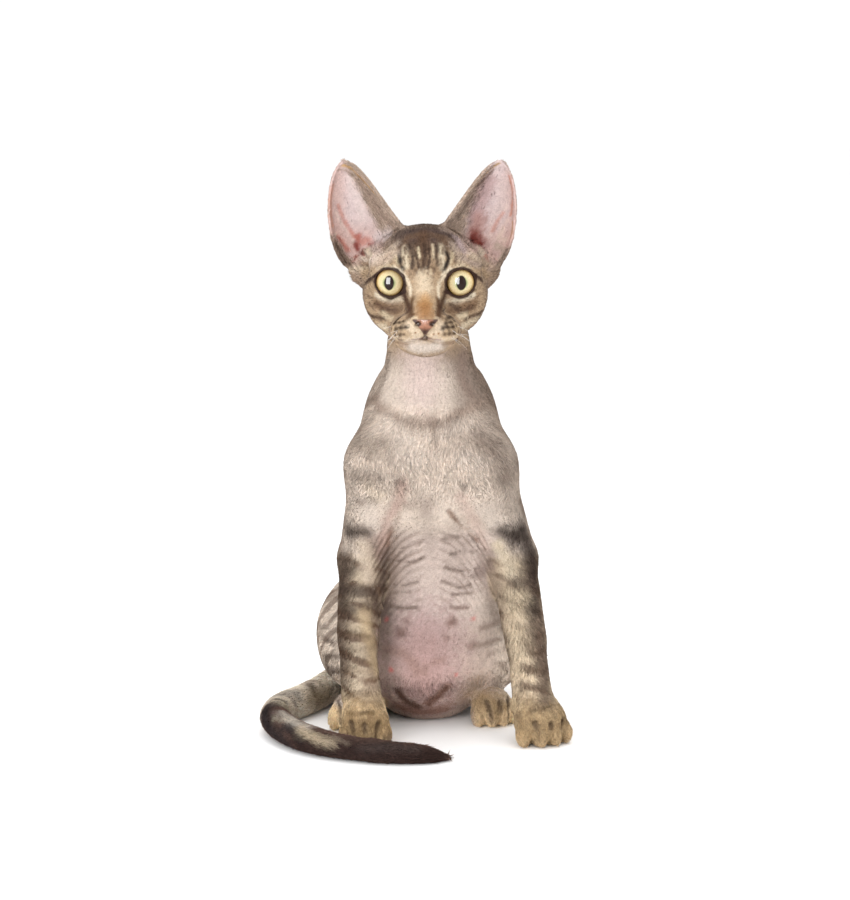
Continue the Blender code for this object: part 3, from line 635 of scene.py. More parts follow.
CLEFTS = toe_lines((-0.495, 0.0, 0.495), ((0.0080, 0.0030), (0.0074, 0.0090), (0.0044, 0.0134), (-0.0015, 0.0152), (-0.0055, 0.0160)))
CLAWS = toe_lines((-0.76, -0.25, 0.25, 0.76), ((0.0082, 0.0040), (0.0078, 0.0078)))


def belly_wave(places):
    """Bowed wrinkles of the thin skin on the belly: 1 in a trough, -1 on a ridge."""
    x, y, z = places.T
    belly = ramp(y, -0.014, -0.026) * ramp(z, 0.118, 0.106) * ramp(z, 0.052, 0.072)
    belly = belly * ramp(np.abs(x - 0.003), 0.036, 0.026) * ramp(np.abs(x - 0.003), 0.001, 0.007)
    bow = z + 2.6 * (x - 0.003) ** 2 / 0.08 + 0.0009 * noise(places, 0.014, 5)
    return belly * np.sin(bow * 2.0 * math.pi / 0.0056) * (0.7 + 0.5 * noise(places, 0.012, 6))


def folded(value, places):
    """Wrinkles of thin skin on the belly, folds at the armpits and flanks, and clefts between the toes."""
    value = value + 0.00050 * belly_wave(places)
    for width, depth, points in FOLDS:
        line = np.array(points).reshape(-1, 3) / 1000.0
        away, along = polyline_distance(places, line, width * 0.003)
        taper = np.sin(np.pi * np.clip(along, 0.04, 0.96))
        value = value + depth / 1000.0 * taper * np.exp(-((away / width * 1000.0) ** 2))
    low = np.flatnonzero(places[:, 2] < 0.022)
    for line in CLEFTS:
        away, along = polyline_distance(places[low], line, 0.003)
        value[low] += 0.0021 * np.exp(-((away / 0.0014) ** 2)) * (1.15 - 0.8 * np.clip(along, 0.0, 1.0))
    return value


class Skin:
    """The field whose zero surface is the skin."""

    def __init__(self):
        self.cat = Cat()

    def field(self, places):
        return folded(self.cat.field(places), places) + coat_depth(places)


def normals(mesh):
    directions = np.empty(len(mesh.vertices) * 3)
    mesh.vertices.foreach_get("normal", directions)
    return directions.reshape(-1, 3)


def put(mesh, places):
    mesh.vertices.foreach_set("co", places.ravel())
    mesh.update()


def thick_ear(side):
    """An ear thick enough for the remesh to hold."""
    mesh = ear_sheet(side)
    data = bpy.data.meshes.new("ear")
    mesh.to_mesh(data)
    mesh.free()
    made = bpy.data.objects.new("ear", data)
    SCENE.collection.objects.link(made)
    solid = made.modifiers.new("thickness", "SOLIDIFY")
    solid.thickness = 2.2 * SKIN_VOXEL
    solid.offset = 0.0
    return settled(made)


def settled(source):
    """The object with its modifiers applied."""
    graph = bpy.context.evaluated_depsgraph_get()
    mesh = bpy.data.meshes.new_from_object(source.evaluated_get(graph))
    source.modifiers.clear()
    source.data = mesh
    return source


def finer(mesh, chosen):
    """Each chosen edge halved."""
    edges = [edge for edge in mesh.edges if chosen(edge.verts[0].co) and chosen(edge.verts[1].co)]
    bmesh.ops.subdivide_edges(mesh, edges=edges, cuts=1, use_grid_fill=True)
    bmesh.ops.triangulate(mesh, faces=[face for face in mesh.faces if len(face.verts) > 4])


def near_eye_or_mouth(place):
    beside = abs(place.x - HEAD_X)
    eye = abs(beside - EYE_SPACING / 2) < 0.0105 and abs(place.z - EYE_Z) < 0.0105
    nose = beside < 0.0200 and 0.2150 < place.z < 0.2370
    return place.y < -0.066 and (eye or nose)


def make_skin(skin):
    """One closed skin under the coat, finer on the face."""
    parts = [skin.cat.rough(), thick_ear(1), thick_ear(-1)]
    mesh = bmesh.new()
    for part in parts:
        mesh.from_mesh(part.data)
        bpy.data.objects.remove(part)
    data = bpy.data.meshes.new("skin")
    mesh.to_mesh(data)
    mesh.free()
    made = bpy.data.objects.new("skin", data)
    SCENE.collection.objects.link(made)
    remesh = made.modifiers.new("skin", "REMESH")
    remesh.mode = "VOXEL"
    remesh.voxel_size = SKIN_VOXEL
    settled(made)
    mesh = bmesh.new()
    mesh.from_mesh(made.data)
    finer(mesh, lambda place: place.y < -0.058 and place.z > 0.205)
    finer(mesh, near_eye_or_mouth)
    mesh.to_mesh(made.data)
    mesh.free()
    places, edges = coordinates(made.data), edge_ends(made.data)
    for round_number, strength in enumerate(DRAW_ROUNDS):
        if round_number < 2:
            places = drawn_on(places, skin.field)
        else:
            step = np.clip(skin.field(places), -0.0015, 0.0015)
            places = places - normals(made.data) * step[:, None]
        places = relaxed(places, edges, strength)
        places[:, 2] = np.maximum(places[:, 2], 0.0001)
        put(made.data, places)
    return made


def coordinates(mesh):
    places = np.empty(len(mesh.vertices) * 3)
    mesh.vertices.foreach_get("co", places)
    return places.reshape(-1, 3)


def edge_ends(mesh):
    ends = np.empty(len(mesh.edges) * 2, dtype=np.int64)
    mesh.edges.foreach_get("vertices", ends)
    return ends.reshape(-1, 2)


def relaxed(places, edges, strength):
    """Each vertex moved towards the middle of its neighbours."""
    ends = np.concatenate([edges[:, 0], edges[:, 1]])
    others = np.concatenate([edges[:, 1], edges[:, 0]])
    count = np.maximum(np.bincount(ends, minlength=len(places)), 1)
    middle = [np.bincount(ends, places[others, k], len(places)) / count for k in range(3)]
    return places + (np.stack(middle, axis=1) - places) * strength


def drawn_on(places, field_of, step_limit=0.002):
    """Each vertex moved along the field's slope onto its zero surface."""
    tiny = 0.0002
    value = field_of(places)
    slope = np.stack([field_of(places + tiny * axis) - value for axis in np.eye(3)], axis=1) / tiny
    size = np.maximum(np.linalg.norm(slope, axis=1), 0.3)
    step = np.clip(value / size, -step_limit, step_limit)
    return places - slope / size[:, None] * step[:, None]


# Markings, and a little painted shade and painted highlight
TAUPE = srgb(172, 152, 136)
NAPE = srgb(132, 112, 98)
FACE = srgb(188, 161, 131)
CROWN = srgb(88, 68, 56)
BREAST = srgb(226, 210, 196)
BELLY = srgb(206, 188, 178)
BELLY_LOW = srgb(188, 163, 153)
HAUNCH = srgb(222, 206, 190)
LEG = srgb(216, 196, 168)
LEG_SIDE = srgb(98, 76, 66)
PAW = srgb(206, 182, 146)
BROWN = srgb(96, 72, 56)
TAIL = srgb(246, 232, 214)
TAIL_DARK = srgb(112, 84, 74)
LILAC = srgb(222, 202, 200)
EAR_PINK = srgb(214, 172, 158)
EAR_FUR = srgb(212, 188, 170)
POUCH = srgb(158, 134, 116)
LEATHER = srgb(172, 116, 88)
LEATHER_DARK = srgb(66, 40, 34)
# Dark of the eye rims, also laid as painted shade in the nostrils and in the clefts between the toes
RIM_AND_SHADE = srgb(56, 34, 26)

# Colour as it shows, strength, half width in mm, and places along the line in mm. Most are the coat's markings; the
# few that are painted shade or painted highlight say so.
MARKS = [
    ((87, 69, 63), .95, 5.5, (-14, -61, 276, -7, -63, 278, -1, -64, 278, 6, -64, 278, 13, -62, 276)),
    ((87, 69, 63), .9, 3.2, (-7, -70, 274, -1, -72, 274, 5, -71, 274)),
    ((206, 186, 158), .7, 2.2, (-21, -72, 260, -18, -72, 264, -16, -70, 269)),
    ((196, 176, 150), .7, 2.2, (19, -73, 260, 17, -73, 264, 14, -71, 269)),
    ((98, 70, 50), .85, 4.6, (-1, -68, 276, -1, -75, 269, 0, -78, 261)),
    ((138, 112, 86), .7, 4, (-6, -78, 258, 0, -79, 256, 6, -78, 258)),
    ((232, 216, 188), .85, 2.3, (-12, -72, 270, -11, -75, 266, -10, -77, 260)),
    ((230, 214, 186), .85, 2.3, (9, -73, 270, 9, -76, 265, 10, -78, 259)),
    ((222, 204, 172), .85, 1, (-3.5, -74.5, 269.5, -3, -77, 264.5)),
    ((218, 198, 168), .8, 1, (4, -73.5, 271, 4.5, -77, 264.5)),
    ((222, 202, 170), .8, 1.2, (-16, -72.5, 265.5, -14.5, -74.5, 261)),
    ((218, 198, 166), .8, 1.2, (14.5, -72.5, 266.5, 13.5, -75.5, 260.5)),
    ((30, 20, 18), 1.0, 1.7, (-14, -72.5, 267.5, -13.5, -74.5, 263.5, -13, -76, 260.5, -12, -76.5,
      258)),
    ((30, 20, 18), 1.0, 1.7, (11.5, -74, 267, 12.5, -75, 264, 11.5, -76.5, 260.5, 10.5, -77, 257.5)),
    ((60, 42, 32), .95, 1.4, (-8.5, -72.5, 271, -7, -75.5, 267.5, -6.5, -77, 263.5, -7, -78, 259)),
    ((66, 46, 34), .9, 1.2, (-5, -76, 267, -4, -77.5, 262.5, -3, -78.5, 258.5)),
    ((66, 46, 34), .9, 1.4, (-0.5, -73.5, 271.5, 0, -77, 265.5, -1, -78.5, 259.5)),
    ((66, 46, 34), .9, 1.1, (2, -75, 269.5, 2.5, -77.5, 264, 1.5, -78.5, 259)),
    ((62, 44, 34), .9, 1.3, (6.5, -73.5, 270.5, 6, -76.5, 265, 7, -78, 261)),
    ((120, 92, 70), .75, 1.2, (-19, -69.5, 266.5, -18, -73, 262)),
    ((96, 72, 54), .7, 1, (-10.5, -72.5, 269.5, -10.5, -74.5, 266.5)),
    ((110, 84, 62), .6, 0.8, (-11.5, -75, 264.5, -10.5, -77, 260.5)),
    ((96, 72, 54), .7, 1, (9.5, -73, 269.5, 9.5, -75, 266.5)),
    ((110, 84, 62), .6, 0.8, (8.5, -76.5, 264.5, 9, -77.5, 260)),
    ((84, 60, 44), .8, 1, (-5.5, -78.5, 258, -4, -79, 256)),
    ((84, 60, 44), .8, 1, (-1.5, -79, 257.5, -1, -79.5, 255.5)),
    ((84, 60, 44), .8, 1, (1.5, -79, 257.5, 1.5, -79.5, 255.5)),
    ((84, 60, 44), .8, 1, (5, -78.5, 258.5, 4.5, -79, 256.5)),
    ((214, 192, 160), .7, 0.9, (-3, -79, 257.5, -2.5, -79.5, 255.5)),
    ((214, 192, 160), .7, 0.9, (0.5, -79, 257.5, 0.5, -79.5, 255.5)),
    ((214, 192, 160), .7, 0.9, (3, -78.5, 258, 3, -79, 256)),
    ((116, 90, 70), .75, 1.2, (17, -71.5, 266, 16, -74, 261.5)),
    ((110, 84, 66), .75, 3.6, (-5, -68, 276, -11, -68, 274, -13, -70, 270)),
    ((110, 84, 66), .75, 3.6, (5, -68, 276, 10, -68, 274, 12, -71, 270)),
    ((232, 212, 184), .85, 4.8, (-1, -80, 253, 0, -83, 248)),
    ((198, 156, 108), .8, 5, (0, -88, 244, 0, -90, 242)),
    ((166, 118, 72), .9, 5.6, (0, -92, 240, 0, -95, 237)),
    # Painted shade on both sides of the nose bridge
    ((104, 72, 48), .85, 2.2, (-7, -83, 243, -8, -85, 239, -7, -91, 235)),
    ((104, 72, 48), .85, 2.2, (7, -83, 243, 8, -86, 239, 7, -91, 235)),
    ((222, 198, 166), .85, 1.1, (-7, -92, 233.5, -4.5, -94.5, 234)),
    ((222, 198, 166), .85, 1.1, (5.5, -93.5, 233.5, 9, -90, 234)),
    ((38, 26, 22), 1.0, 1.1, (-25.5, -72, 255, -28.5, -68.5, 253, -31.5, -60, 250.5)),
    ((84, 62, 50), .85, 1.9, (-28, -69.5, 252.5, -32, -58.5, 249.5)),
    ((38, 26, 22), 1.0, 1.1, (24.5, -71.5, 256, 28, -69.5, 254, 30, -65, 252)),
    ((84, 62, 50), .85, 1.9, (27.5, -70.5, 253.5, 31, -63, 251)),
    ((244, 228, 202), .95, 1.7, (-16.5, -74.5, 258.5, -13, -75, 256.5, -10, -77, 252.5, -8, -78.5,
      248.5, -8, -79.5, 245.5)),
    ((244, 228, 202), .95, 1.7, (13.5, -75.5, 258, 10.5, -77, 255.5, 8, -78.5, 251, 7.5, -80, 247,
      7.5, -81, 244.5)),
    ((244, 230, 206), .95, 2, (-26, -72, 244, -23, -73, 242, -18, -74, 241, -13, -75, 242)),
    ((244, 230, 206), .95, 2, (12, -76, 241, 16, -74, 241, 21, -74, 242, 26, -72, 244)),
    ((220, 200, 170), .7, 1.4, (-25.5, -69.5, 258.5, -22, -72, 259.5, -17.5, -74, 259)),
    ((220, 200, 170), .7, 1.4, (16, -74.5, 259.5, 20, -73, 260, 24.5, -71, 258.5)),
    ((96, 68, 50), .85, 3.2, (-10, -78, 239, -8, -87, 237, -9, -89, 235)),
    ((84, 58, 44), .9, 3, (-11, -76, 244, -10, -77, 241, -9, -83, 238)),
    ((72, 48, 38), .9, 1.3, (-12.5, -73, 246.5, -11.5, -76, 245, -11, -76, 242.5)),
    ((96, 68, 50), .85, 3.2, (9, -82, 240, 8, -89, 237, 8, -90, 235)),
    ((84, 58, 44), .9, 3.2, (11, -77, 244, 10, -78, 241, 9, -85, 238)),
    ((72, 48, 38), .9, 1.3, (12, -75, 247, 11, -76.5, 245, 10.5, -77, 243)),
    ((128, 98, 74), .85, 4.2, (-26, -70, 239, -21, -73, 238, -15, -75, 237)),
    ((128, 98, 74), .85, 4.2, (14, -75, 237, 19, -74, 237, 26, -70, 239)),
    ((92, 68, 54), .9, 1.6, (-26, -70.5, 239.5, -21, -73, 236.5, -16, -75, 236.5)),
    ((92, 68, 54), .9, 1.6, (13.5, -74.5, 239.5, 19.5, -74, 235.5, 25, -70.5, 237)),
    ((84, 60, 48), .9, 1.7, (-30.5, -58.5, 232.5, -26, -66.5, 231.5, -21.5, -72.5, 232)),
    ((84, 60, 48), .9, 1.7, (21.5, -72.5, 231.5, 26.5, -67, 232.5, 30.5, -60.5, 233.5)),
    ((110, 84, 66), .8, 1.4, (-30, -65.5, 239, -28, -67, 236.5)),
    ((100, 76, 60), .8, 1.3, (-23.5, -71, 236, -20.5, -73.5, 234.5, -16.5, -75.5, 235)),
    ((100, 76, 60), .8, 1.3, (16, -75, 237, 19.5, -74.5, 234, 23, -71.5, 234.5)),
    ((116, 90, 70), .7, 1.3, (27.5, -70.5, 242.5, 29.5, -68.5, 244)),
    ((116, 90, 70), .7, 1.3, (-31, -65, 243.5, -29, -68, 242)),
    ((220, 200, 170), .7, 1.2, (-25, -69.5, 234.5, -21, -73, 233)),
    ((220, 200, 170), .7, 1.2, (19.5, -75, 232, 23, -71.5, 232.5)),
    ((232, 214, 186), .85, 2.3, (-25, -62, 227, -21, -74, 227)),
    ((232, 214, 186), .85, 2.3, (20, -75, 228, 25, -67, 229, 28, -61, 230)),
    ((224, 204, 174), .8, 2, (-22, -72, 234, -18, -76, 232)),
    ((224, 204, 174), .8, 2, (18, -75, 233, 22, -72, 234)),
    ((196, 170, 138), .85, 4.6, (-17, -86, 230, -12, -92, 227, -9, -92, 227)),
    ((230, 210, 184), .9, 3.4, (-8, -92, 230, -6, -93, 227, -4, -92, 225)),
    ((190, 164, 132), .85, 4.6, (10, -92, 227, 14, -90, 228, 18, -86, 229)),
    ((228, 206, 180), .9, 3.4, (4, -92, 225, 6, -92, 227, 8, -92, 230)),
    ((220, 198, 170), .8, 2.4, (-16, -88, 223, -10, -90, 222, -5, -91, 222)),
    ((214, 192, 164), .8, 2.4, (7, -91, 222, 12, -90, 222, 17, -87, 223)),
    ((56, 38, 28), .95, 1.62, (-15.5, -85, 231.5, -13.5, -83, 233.5)),
    ((52, 36, 28), .95, 1.5, (-16.5, -85.5, 230.5, -15.5, -86.5, 231)),
    ((52, 36, 28), .95, 1.62, (-14, -88, 231.5, -13.5, -88.5, 231.5)),
    ((52, 36, 28), .95, 1.5, (-11.5, -89, 232)),
    ((60, 42, 32), .9, 1.38, (-18, -85.5, 227.5)),
    ((48, 32, 24), .95, 1.62, (-16, -89, 228, -15.5, -89.5, 228)),
    ((48, 32, 24), .95, 1.62, (-13, -90.5, 228.5, -12.5, -91, 228.5)),
    ((52, 36, 28), .95, 1.5, (-10.5, -91.5, 229, -10, -92, 229)),
    ((70, 48, 36), .9, 1.5, (-16, -88.5, 224.5)),
    ((60, 42, 32), .9, 1.5, (-13.5, -90.5, 224.5, -13, -91, 225)),
    ((76, 52, 38), .9, 1.25, (-11, -92, 225)),
    ((150, 102, 64), .85, 0.8, (-7.5, -92.5, 225.5)),
    ((150, 102, 64), .85, 0.8, (-5, -92.5, 226)),
    ((90, 66, 50), .8, 1.38, (-14, -89, 222, -12, -90, 221.5)),
    ((52, 36, 28), .95, 1.75, (12, -87.5, 233.5, 14, -80, 234)),
    ((52, 36, 28), .95, 1.5, (11, -90.5, 231, 11.5, -90, 231.5)),
    ((52, 36, 28), .95, 1.62, (13.5, -88.5, 231.5, 14, -88, 231.5)),
    ((52, 36, 28), .95, 1.5, (15.5, -84.5, 232)),
    ((48, 32, 24), .95, 1.62, (9.5, -92, 228.5, 10, -92, 229)),
    ((48, 32, 24), .95, 1.62, (12, -91, 229, 12.5, -91, 229)),
    ((52, 36, 28), .95, 1.62, (14.5, -89.5, 229, 15, -89, 229)),
    ((60, 42, 32), .9, 1.38, (17, -87, 229.5)),
    ((70, 48, 36), .9, 1.38, (10.5, -92, 225)),
    ((60, 42, 32), .9, 1.5, (13, -91, 225.5, 13.5, -91, 225.5)),
    ((60, 42, 32), .9, 1.38, (15.5, -89.5, 225.5)),
    ((76, 52, 38), .85, 1.25, (18, -86.5, 226)),
    ((150, 102, 64), .85, 0.8, (7, -92, 225.5)),
    ((150, 102, 64), .85, 0.8, (4.5, -92, 225)),
    ((70, 44, 40), .95, 0.7, (0, -91.5, 226.5, 0, -89, 224)),
    ((140, 104, 94), .85, 0.8, (0, -88.5, 223.5, -3.5, -90, 222, -7, -91, 222)),
    ((140, 104, 94), .85, 0.8, (0, -88.5, 223.5, 4.5, -90, 222, 8, -90.5, 222)),
    ((110, 72, 66), .9, 0.8, (-1, -89.5, 222.5, 1, -89.5, 222.5)),
    ((218, 204, 192), .9, 5, (-7, -89, 218, 0, -90, 217, 7, -89, 218)),
    # Painted shadow under the lower jaw, on each side of the chin
    ((160, 136, 118), .6, 2.2, (-14, -86, 220, -10, -88, 219)),
    ((160, 136, 118), .6, 2.2, (15, -85, 220, 11, -88, 219)),
    ((206, 186, 168), .75, 3.2, (-38, -45, 257, -30, -62, 260, -22, -70, 262, -16, -72, 267)),
    ((190, 170, 154), .7, 3.2, (15, -69, 271, 19, -71, 264, 27, -67, 260)),
    ((172, 146, 130), .6, 3.4, (-36, -35, 303, -31, -36, 296, -27, -36, 290, -23, -37, 284, -18,
      -39, 278)),
    ((176, 152, 134), .6, 1.6, (-32.5, -33.5, 294, -28.5, -34, 287.5, -25, -34, 281.5, -23, -34, 276)),
    # Painted shade at the inner base of the ear, where it meets the head
    ((100, 82, 72), .8, 2.4, (-14, -55, 277, -13, -66, 274, -14, -69, 270)),
    ((232, 214, 208), .5, 3, (-40, -34, 302, -36, -32, 292, -34, -31, 282)),
    ((204, 144, 120), .7, 1.6, (-49, -38, 300.5, -51, -38.5, 292.5, -50.5, -38.5, 284.5, -49.5,
      -38, 279)),
    # Painted highlight on a ridge inside the ear
    ((232, 208, 196), .75, 0.9, (-48, -35, 286, -45, -33.5, 279.5, -41.5, -32.5, 275, -38.5, -32.5,
      269.5)),
    # Painted shade in a fold inside the ear
    ((192, 120, 102), .65, 1.3, (-46.5, -34, 289.5, -45, -33, 284.5, -42, -32.5, 278, -39, -32, 273)),
    ((200, 124, 108), .7, 1.2, (-42.5, -32.5, 281, -40, -32, 276, -37, -31.5, 272)),
    ((176, 94, 80), 0.88, 2.03, (-36, -31, 273, -36, -32, 269, -37, -33, 267)),
    ((130, 46, 38), 1.00, 1.3, (-37.5, -32, 269, -36.5, -33, 265.5, -33.5, -38.5, 264)),
    ((122, 42, 34), 0.99, 1.01, (-34, -33.5, 266, -33, -38.5, 263.5)),
    ((160, 72, 60), 0.99, 1.45, (-30.5, -32.5, 269, -28.5, -33.5, 269.5, -27, -29.5, 267.5)),
    ((206, 138, 124), 0.77, 2.03, (-34, -32, 270, -32, -31, 271, -30, -32, 271)),
    ((192, 116, 100), 0.83, 1.74, (-46.5, -36.5, 272.5, -44, -35, 269, -42, -35, 266)),
    ((186, 108, 92), 0.83, 1.45, (-37.5, -36.5, 262.5, -36.5, -38, 260.5, -38.5, -39.5, 258.5)),
    ((226, 210, 208), .8, 4.4, (-25, -33, 272, -21, -36, 274)),
    ((222, 202, 192), .6, 3.4, (-28, -38, 266, -24, -67, 265, -29, -64, 263)),
    ((232, 214, 190), .95, 2.08, (-32, -35, 266, -30, -38, 264, -29, -62, 264)),
    ((236, 218, 200), .95, 1.56, (-34, -40.5, 261.5, -32, -41, 261, -29.5, -62.5, 262)),
    ((122, 100, 86), .85, 3.4, (-48, -41, 268, -46, -41, 264, -43, -42, 259)),
    ((98, 80, 68), .85, 1.6, (-43.5, -42, 259)),
    ((230, 210, 192), .85, 0.8, (-48, -37, 274.5, -49.5, -40, 272.5)),
    ((190, 134, 96), .85, 1, (-51.5, -39, 277)),
    ((182, 140, 112), .8, 1, (-52.5, -38, 292.5, -51.5, -39, 282, -51.5, -39, 278)),
    ((216, 174, 118), .9, 1.1, (-46.5, -36.5, 311.5, -43, -37, 311, -40, -37, 309.5)),
    ((206, 162, 106), .9, 0.8, (-39.5, -37, 309, -36, -36.5, 305.5, -32, -37.5, 301.5, -28, -39.5,
      297, -24, -43.5, 293)),
    # Painted shade under the rim of the ear's tip
    ((150, 122, 98), .65, 1, (-46.5, -37.5, 308.5, -42.5, -36, 308, -39, -35.5, 305.5)),
    ((222, 202, 182), .55, 3, (-26, -67, 263, -22, -68, 266, -18, -68, 268, -16, -68, 271)),
    ((206, 180, 160), .45, 2.6, (-24, -69, 261, -20, -70, 264, -16, -71, 268)),
    ((212, 192, 166), .8, 1.8, (-40.5, -45, 255.5, -36.5, -46.5, 257, -32, -50, 257.5)),
    ((176, 154, 140), .6, 3.4, (30, -37, 302, 24, -38, 294, 20, -39, 287, 15, -41, 282, 11, -59, 278)),
    ((128, 106, 94), .6, 1.2, (25.5, -36.5, 294.5, 22, -37.5, 289, 18, -37.5, 283)),
    ((176, 142, 140), .7, 6, (34, -35, 302, 31, -33, 294, 28, -32, 287, 28, -32, 282)),
    ((214, 190, 184), .6, 3.6, (42, -34, 302, 42, -33, 292, 39, -32, 284, 37, -32, 279)),
    ((200, 130, 104), .8, 1.2, (45.5, -37.5, 305.5, 46.5, -38, 297.5, 46.5, -37, 290, 46, -36.5,
      284.5)),
    ((234, 210, 200), .75, 1, (44, -34, 289.5, 40.5, -32.5, 283, 37.5, -32, 277.5, 34.5, -32, 272)),
    # Painted shade in a fold inside the other ear
    ((192, 120, 102), .65, 1.3, (42, -33, 285.5, 38.5, -32, 280, 36.5, -31.5, 275.5)),
    ((230, 202, 190), .75, 1.2, (44.5, -35, 281.5, 40.5, -33.5, 276, 36.5, -32.5, 270.5)),
    ((186, 140, 130), .7, 4.6, (29, -32, 282, 28, -32, 278, 28, -31, 275)),
    ((134, 58, 46), .95, 4.4, (27, -32, 273, 28, -32, 271, 30, -33, 269)),
    ((114, 40, 30), .95, 1.1, (30.5, -32.5, 269.5, 31, -36.5, 266.5, 32.5, -33.5, 267.5)),
    ((104, 36, 28), .9, 2, (26, -32, 272, 26, -35, 270)),
    ((218, 186, 178), .85, 1.2, (32, -33.5, 267.5, 35.5, -32, 270.5, 38, -32.5, 273)),
    ((196, 128, 110), .65, 0.9, (32, -31, 263.5, 33, -39.5, 262.5, 34, -42.5, 260)),
    ((232, 212, 190), .95, 2.21, (30, -36, 268, 31, -37, 266, 30, -38, 264)),
    ((206, 186, 164), .7, 3, (24, -66, 265, 28, -65, 263, 32, -43, 259)),
    ((200, 178, 176), .75, 3.4, (18, -60, 274, 19, -65, 270, 21, -67, 268)),
    ((196, 176, 158), .8, 2.4, (39, -34, 268, 42, -39, 266, 41, -40, 262)),
    ((152, 132, 116), .8, 2, (44, -41, 266, 42, -42, 260, 39, -45, 257)),
    ((196, 150, 116), .8, 1, (47, -38.5, 281, 47, -40, 276.5, 46.5, -40, 272.5)),
    ((226, 200, 184), .8, 1.6, (42, -34, 276, 40, -33.5, 272, 43.5, -37, 271)),
    ((208, 170, 122), .9, 1.2, (37, -37.5, 310.5, 39.5, -37.5, 312.5)),
    ((192, 152, 108), .85, 0.8, (36.5, -38, 310.5, 33, -37.5, 306.5, 29, -39, 302.5, 24.5, -41,
      296.5, 20, -44, 293)),
    ((112, 86, 70), .75, 0.9, (37.5, -36.5, 309, 35, -36, 306.5, 31, -36.5, 302.5, 28.5, -37.5, 300)),
    ((176, 154, 140), .75, 2, (21, -70, 264, 25, -69, 261, 30, -63, 259, 35, -48, 256)),
    ((224, 202, 194), .8, 12, (-2, -57, 206, -2, -57, 192)),
    ((150, 128, 116), .6, 4.5, (21, -48, 211, 20, -50, 197, 25, -47, 189)),
    ((150, 134, 120), .55, 3.5, (-21, -42, 203, -26, -38, 190, -28, -39, 184)),
    ((146, 124, 110), .55, 4, (-29, -37, 185, -20, -52, 179, -12, -60, 175, -1, -63, 174, 10, -62,
      174, 21, -55, 180, 30, -45, 184)),
    ((150, 128, 112), .45, 2.6, (5, -63, 173, 6, -66, 162)),
    ((222, 208, 196), .6, 6.5, (-22, -56, 173, -10, -64, 165)),
    ((222, 208, 196), .6, 6.5, (-14, -67, 158, -5, -67, 156)),
    ((222, 208, 196), .5, 5, (10, -64, 170, 25, -57, 174)),
    ((222, 208, 196), .5, 6, (21, -67, 157, 30, -68, 154)),
    ((140, 124, 110), .5, 8, (-36, -57, 165, -27, -65, 162)),
    ((132, 116, 104), .55, 5, (-38, -62, 146, -26, -68, 146)),
    ((136, 118, 106), .6, 9, (30, -60, 169, 38, -64, 162, 43, -64, 146)),
    ((116, 100, 88), .55, 4, (-36, -57, 130, -28, -62, 132)),
    ((206, 190, 170), .6, 5, (-31, -65, 139, -24, -64, 135)),
    ((210, 196, 184), .7, 7, (-31, -56, 124, -25, -53, 118)),
    ((210, 196, 184), .7, 7, (33, -58, 126, 37, -52, 118)),
    ((186, 156, 144), .7, 4, (-12, -67, 142, -14, -63, 132, -19, -56, 123, -22, -48, 111, -23, -41,
      98)),
    ((112, 80, 62), .75, 1.8, (-14, -55, 121, -18.5, -48, 113, -20.5, -43, 104.5)),
    ((120, 100, 90), .6, 3.2, (-14, -68, 143)),
    ((120, 100, 90), .6, 3.2, (21, -67, 140)),
    ((206, 180, 168), .6, 4, (19, -64, 134, 26, -52, 120, 32, -40, 103)),
    ((122, 86, 66), .75, 1.8, (13, -60, 126, 20, -48, 115, 28, -39.5, 106.5)),
    ((172, 156, 146), .4, 4.5, (1, -64, 132, 2, -43, 102)),
    ((104, 86, 76), .75, 1.2, (-20, -41, 102, -12, -40, 102.5, -4, -44, 104.5, -1, -47, 107.5)),
    ((112, 94, 84), .6, 2.4, (11, -47, 109, 18, -43, 109)),
    ((90, 74, 64), .8, 1.5, (14.5, -39, 99, 26, -34.5, 99, 32.5, -39.5, 101.5)),
    ((74, 60, 52), .85, 5.5, (-42, -45, 112, -33, -50, 113)),
    ((84, 68, 58), .75, 5.5, (-46, -38, 96, -41, -43, 92, -46, -39, 88)),
    ((76, 60, 51), .85, 5, (-46, -42, 80, -37, -49, 80, -29, -47, 80)),
    ((82, 66, 55), .75, 5, (-45, -49, 72, -37, -53, 70, -31, -51, 71)),
    ((78, 62, 52), .75, 3.5, (-27, -46, 77, -25, -47, 67)),
    ((206, 188, 168), .75, 5, (-34, -47, 105, -31, -44, 94, -31, -45, 87)),
    ((200, 176, 140), .6, 5, (-33, -54, 68, -30, -57, 57, -28, -55, 48, -26, -56, 38)),
    ((104, 84, 64), .6, 2.2, (-41, -57, 59, -30, -57, 57)),
    ((104, 84, 64), .45, 2.4, (-40, -59, 49, -28, -55, 51)),
    ((112, 92, 72), .5, 2.8, (-43, -60, 39, -33, -63, 39)),
    ((104, 84, 64), .55, 2.4, (-43, -64, 26, -30, -67, 28)),
    ((66, 50, 40), .9, 1.8, (-43, -73, 18.5, -37, -78.5, 19, -28, -78, 20)),
    ((168, 140, 102), .8, 12, (-43, -77, 14, -33, -82, 12, -21, -77, 11)),
    ((62, 50, 45), .85, 6, (42, -51, 113, 49, -47, 109)),
    ((62, 49, 44), .9, 8, (54, -45, 113, 59, -38, 99, 61, -40, 88)),
    ((82, 64, 56), .75, 6, (49, -46, 86, 60, -44, 82)),
    ((62, 49, 44), .85, 6, (59, -48, 75, 60, -50, 70)),
    ((214, 198, 174), .9, 5, (40, -46, 104, 47, -44, 90)),
    ((206, 188, 162), .65, 6, (46, -48, 75, 54, -49, 78)),
    ((232, 212, 184), .8, 6, (45, -51, 64, 48, -55, 57, 49, -57, 46, 48, -59, 36, 47, -25, 16)),
    ((108, 88, 76), .7, 6.5, (60, -54, 62, 63, -57, 48, 65, -61, 34, 66, -71, 25)),
    ((118, 98, 80), .5, 3, (53, -58, 54, 61, -59, 47)),
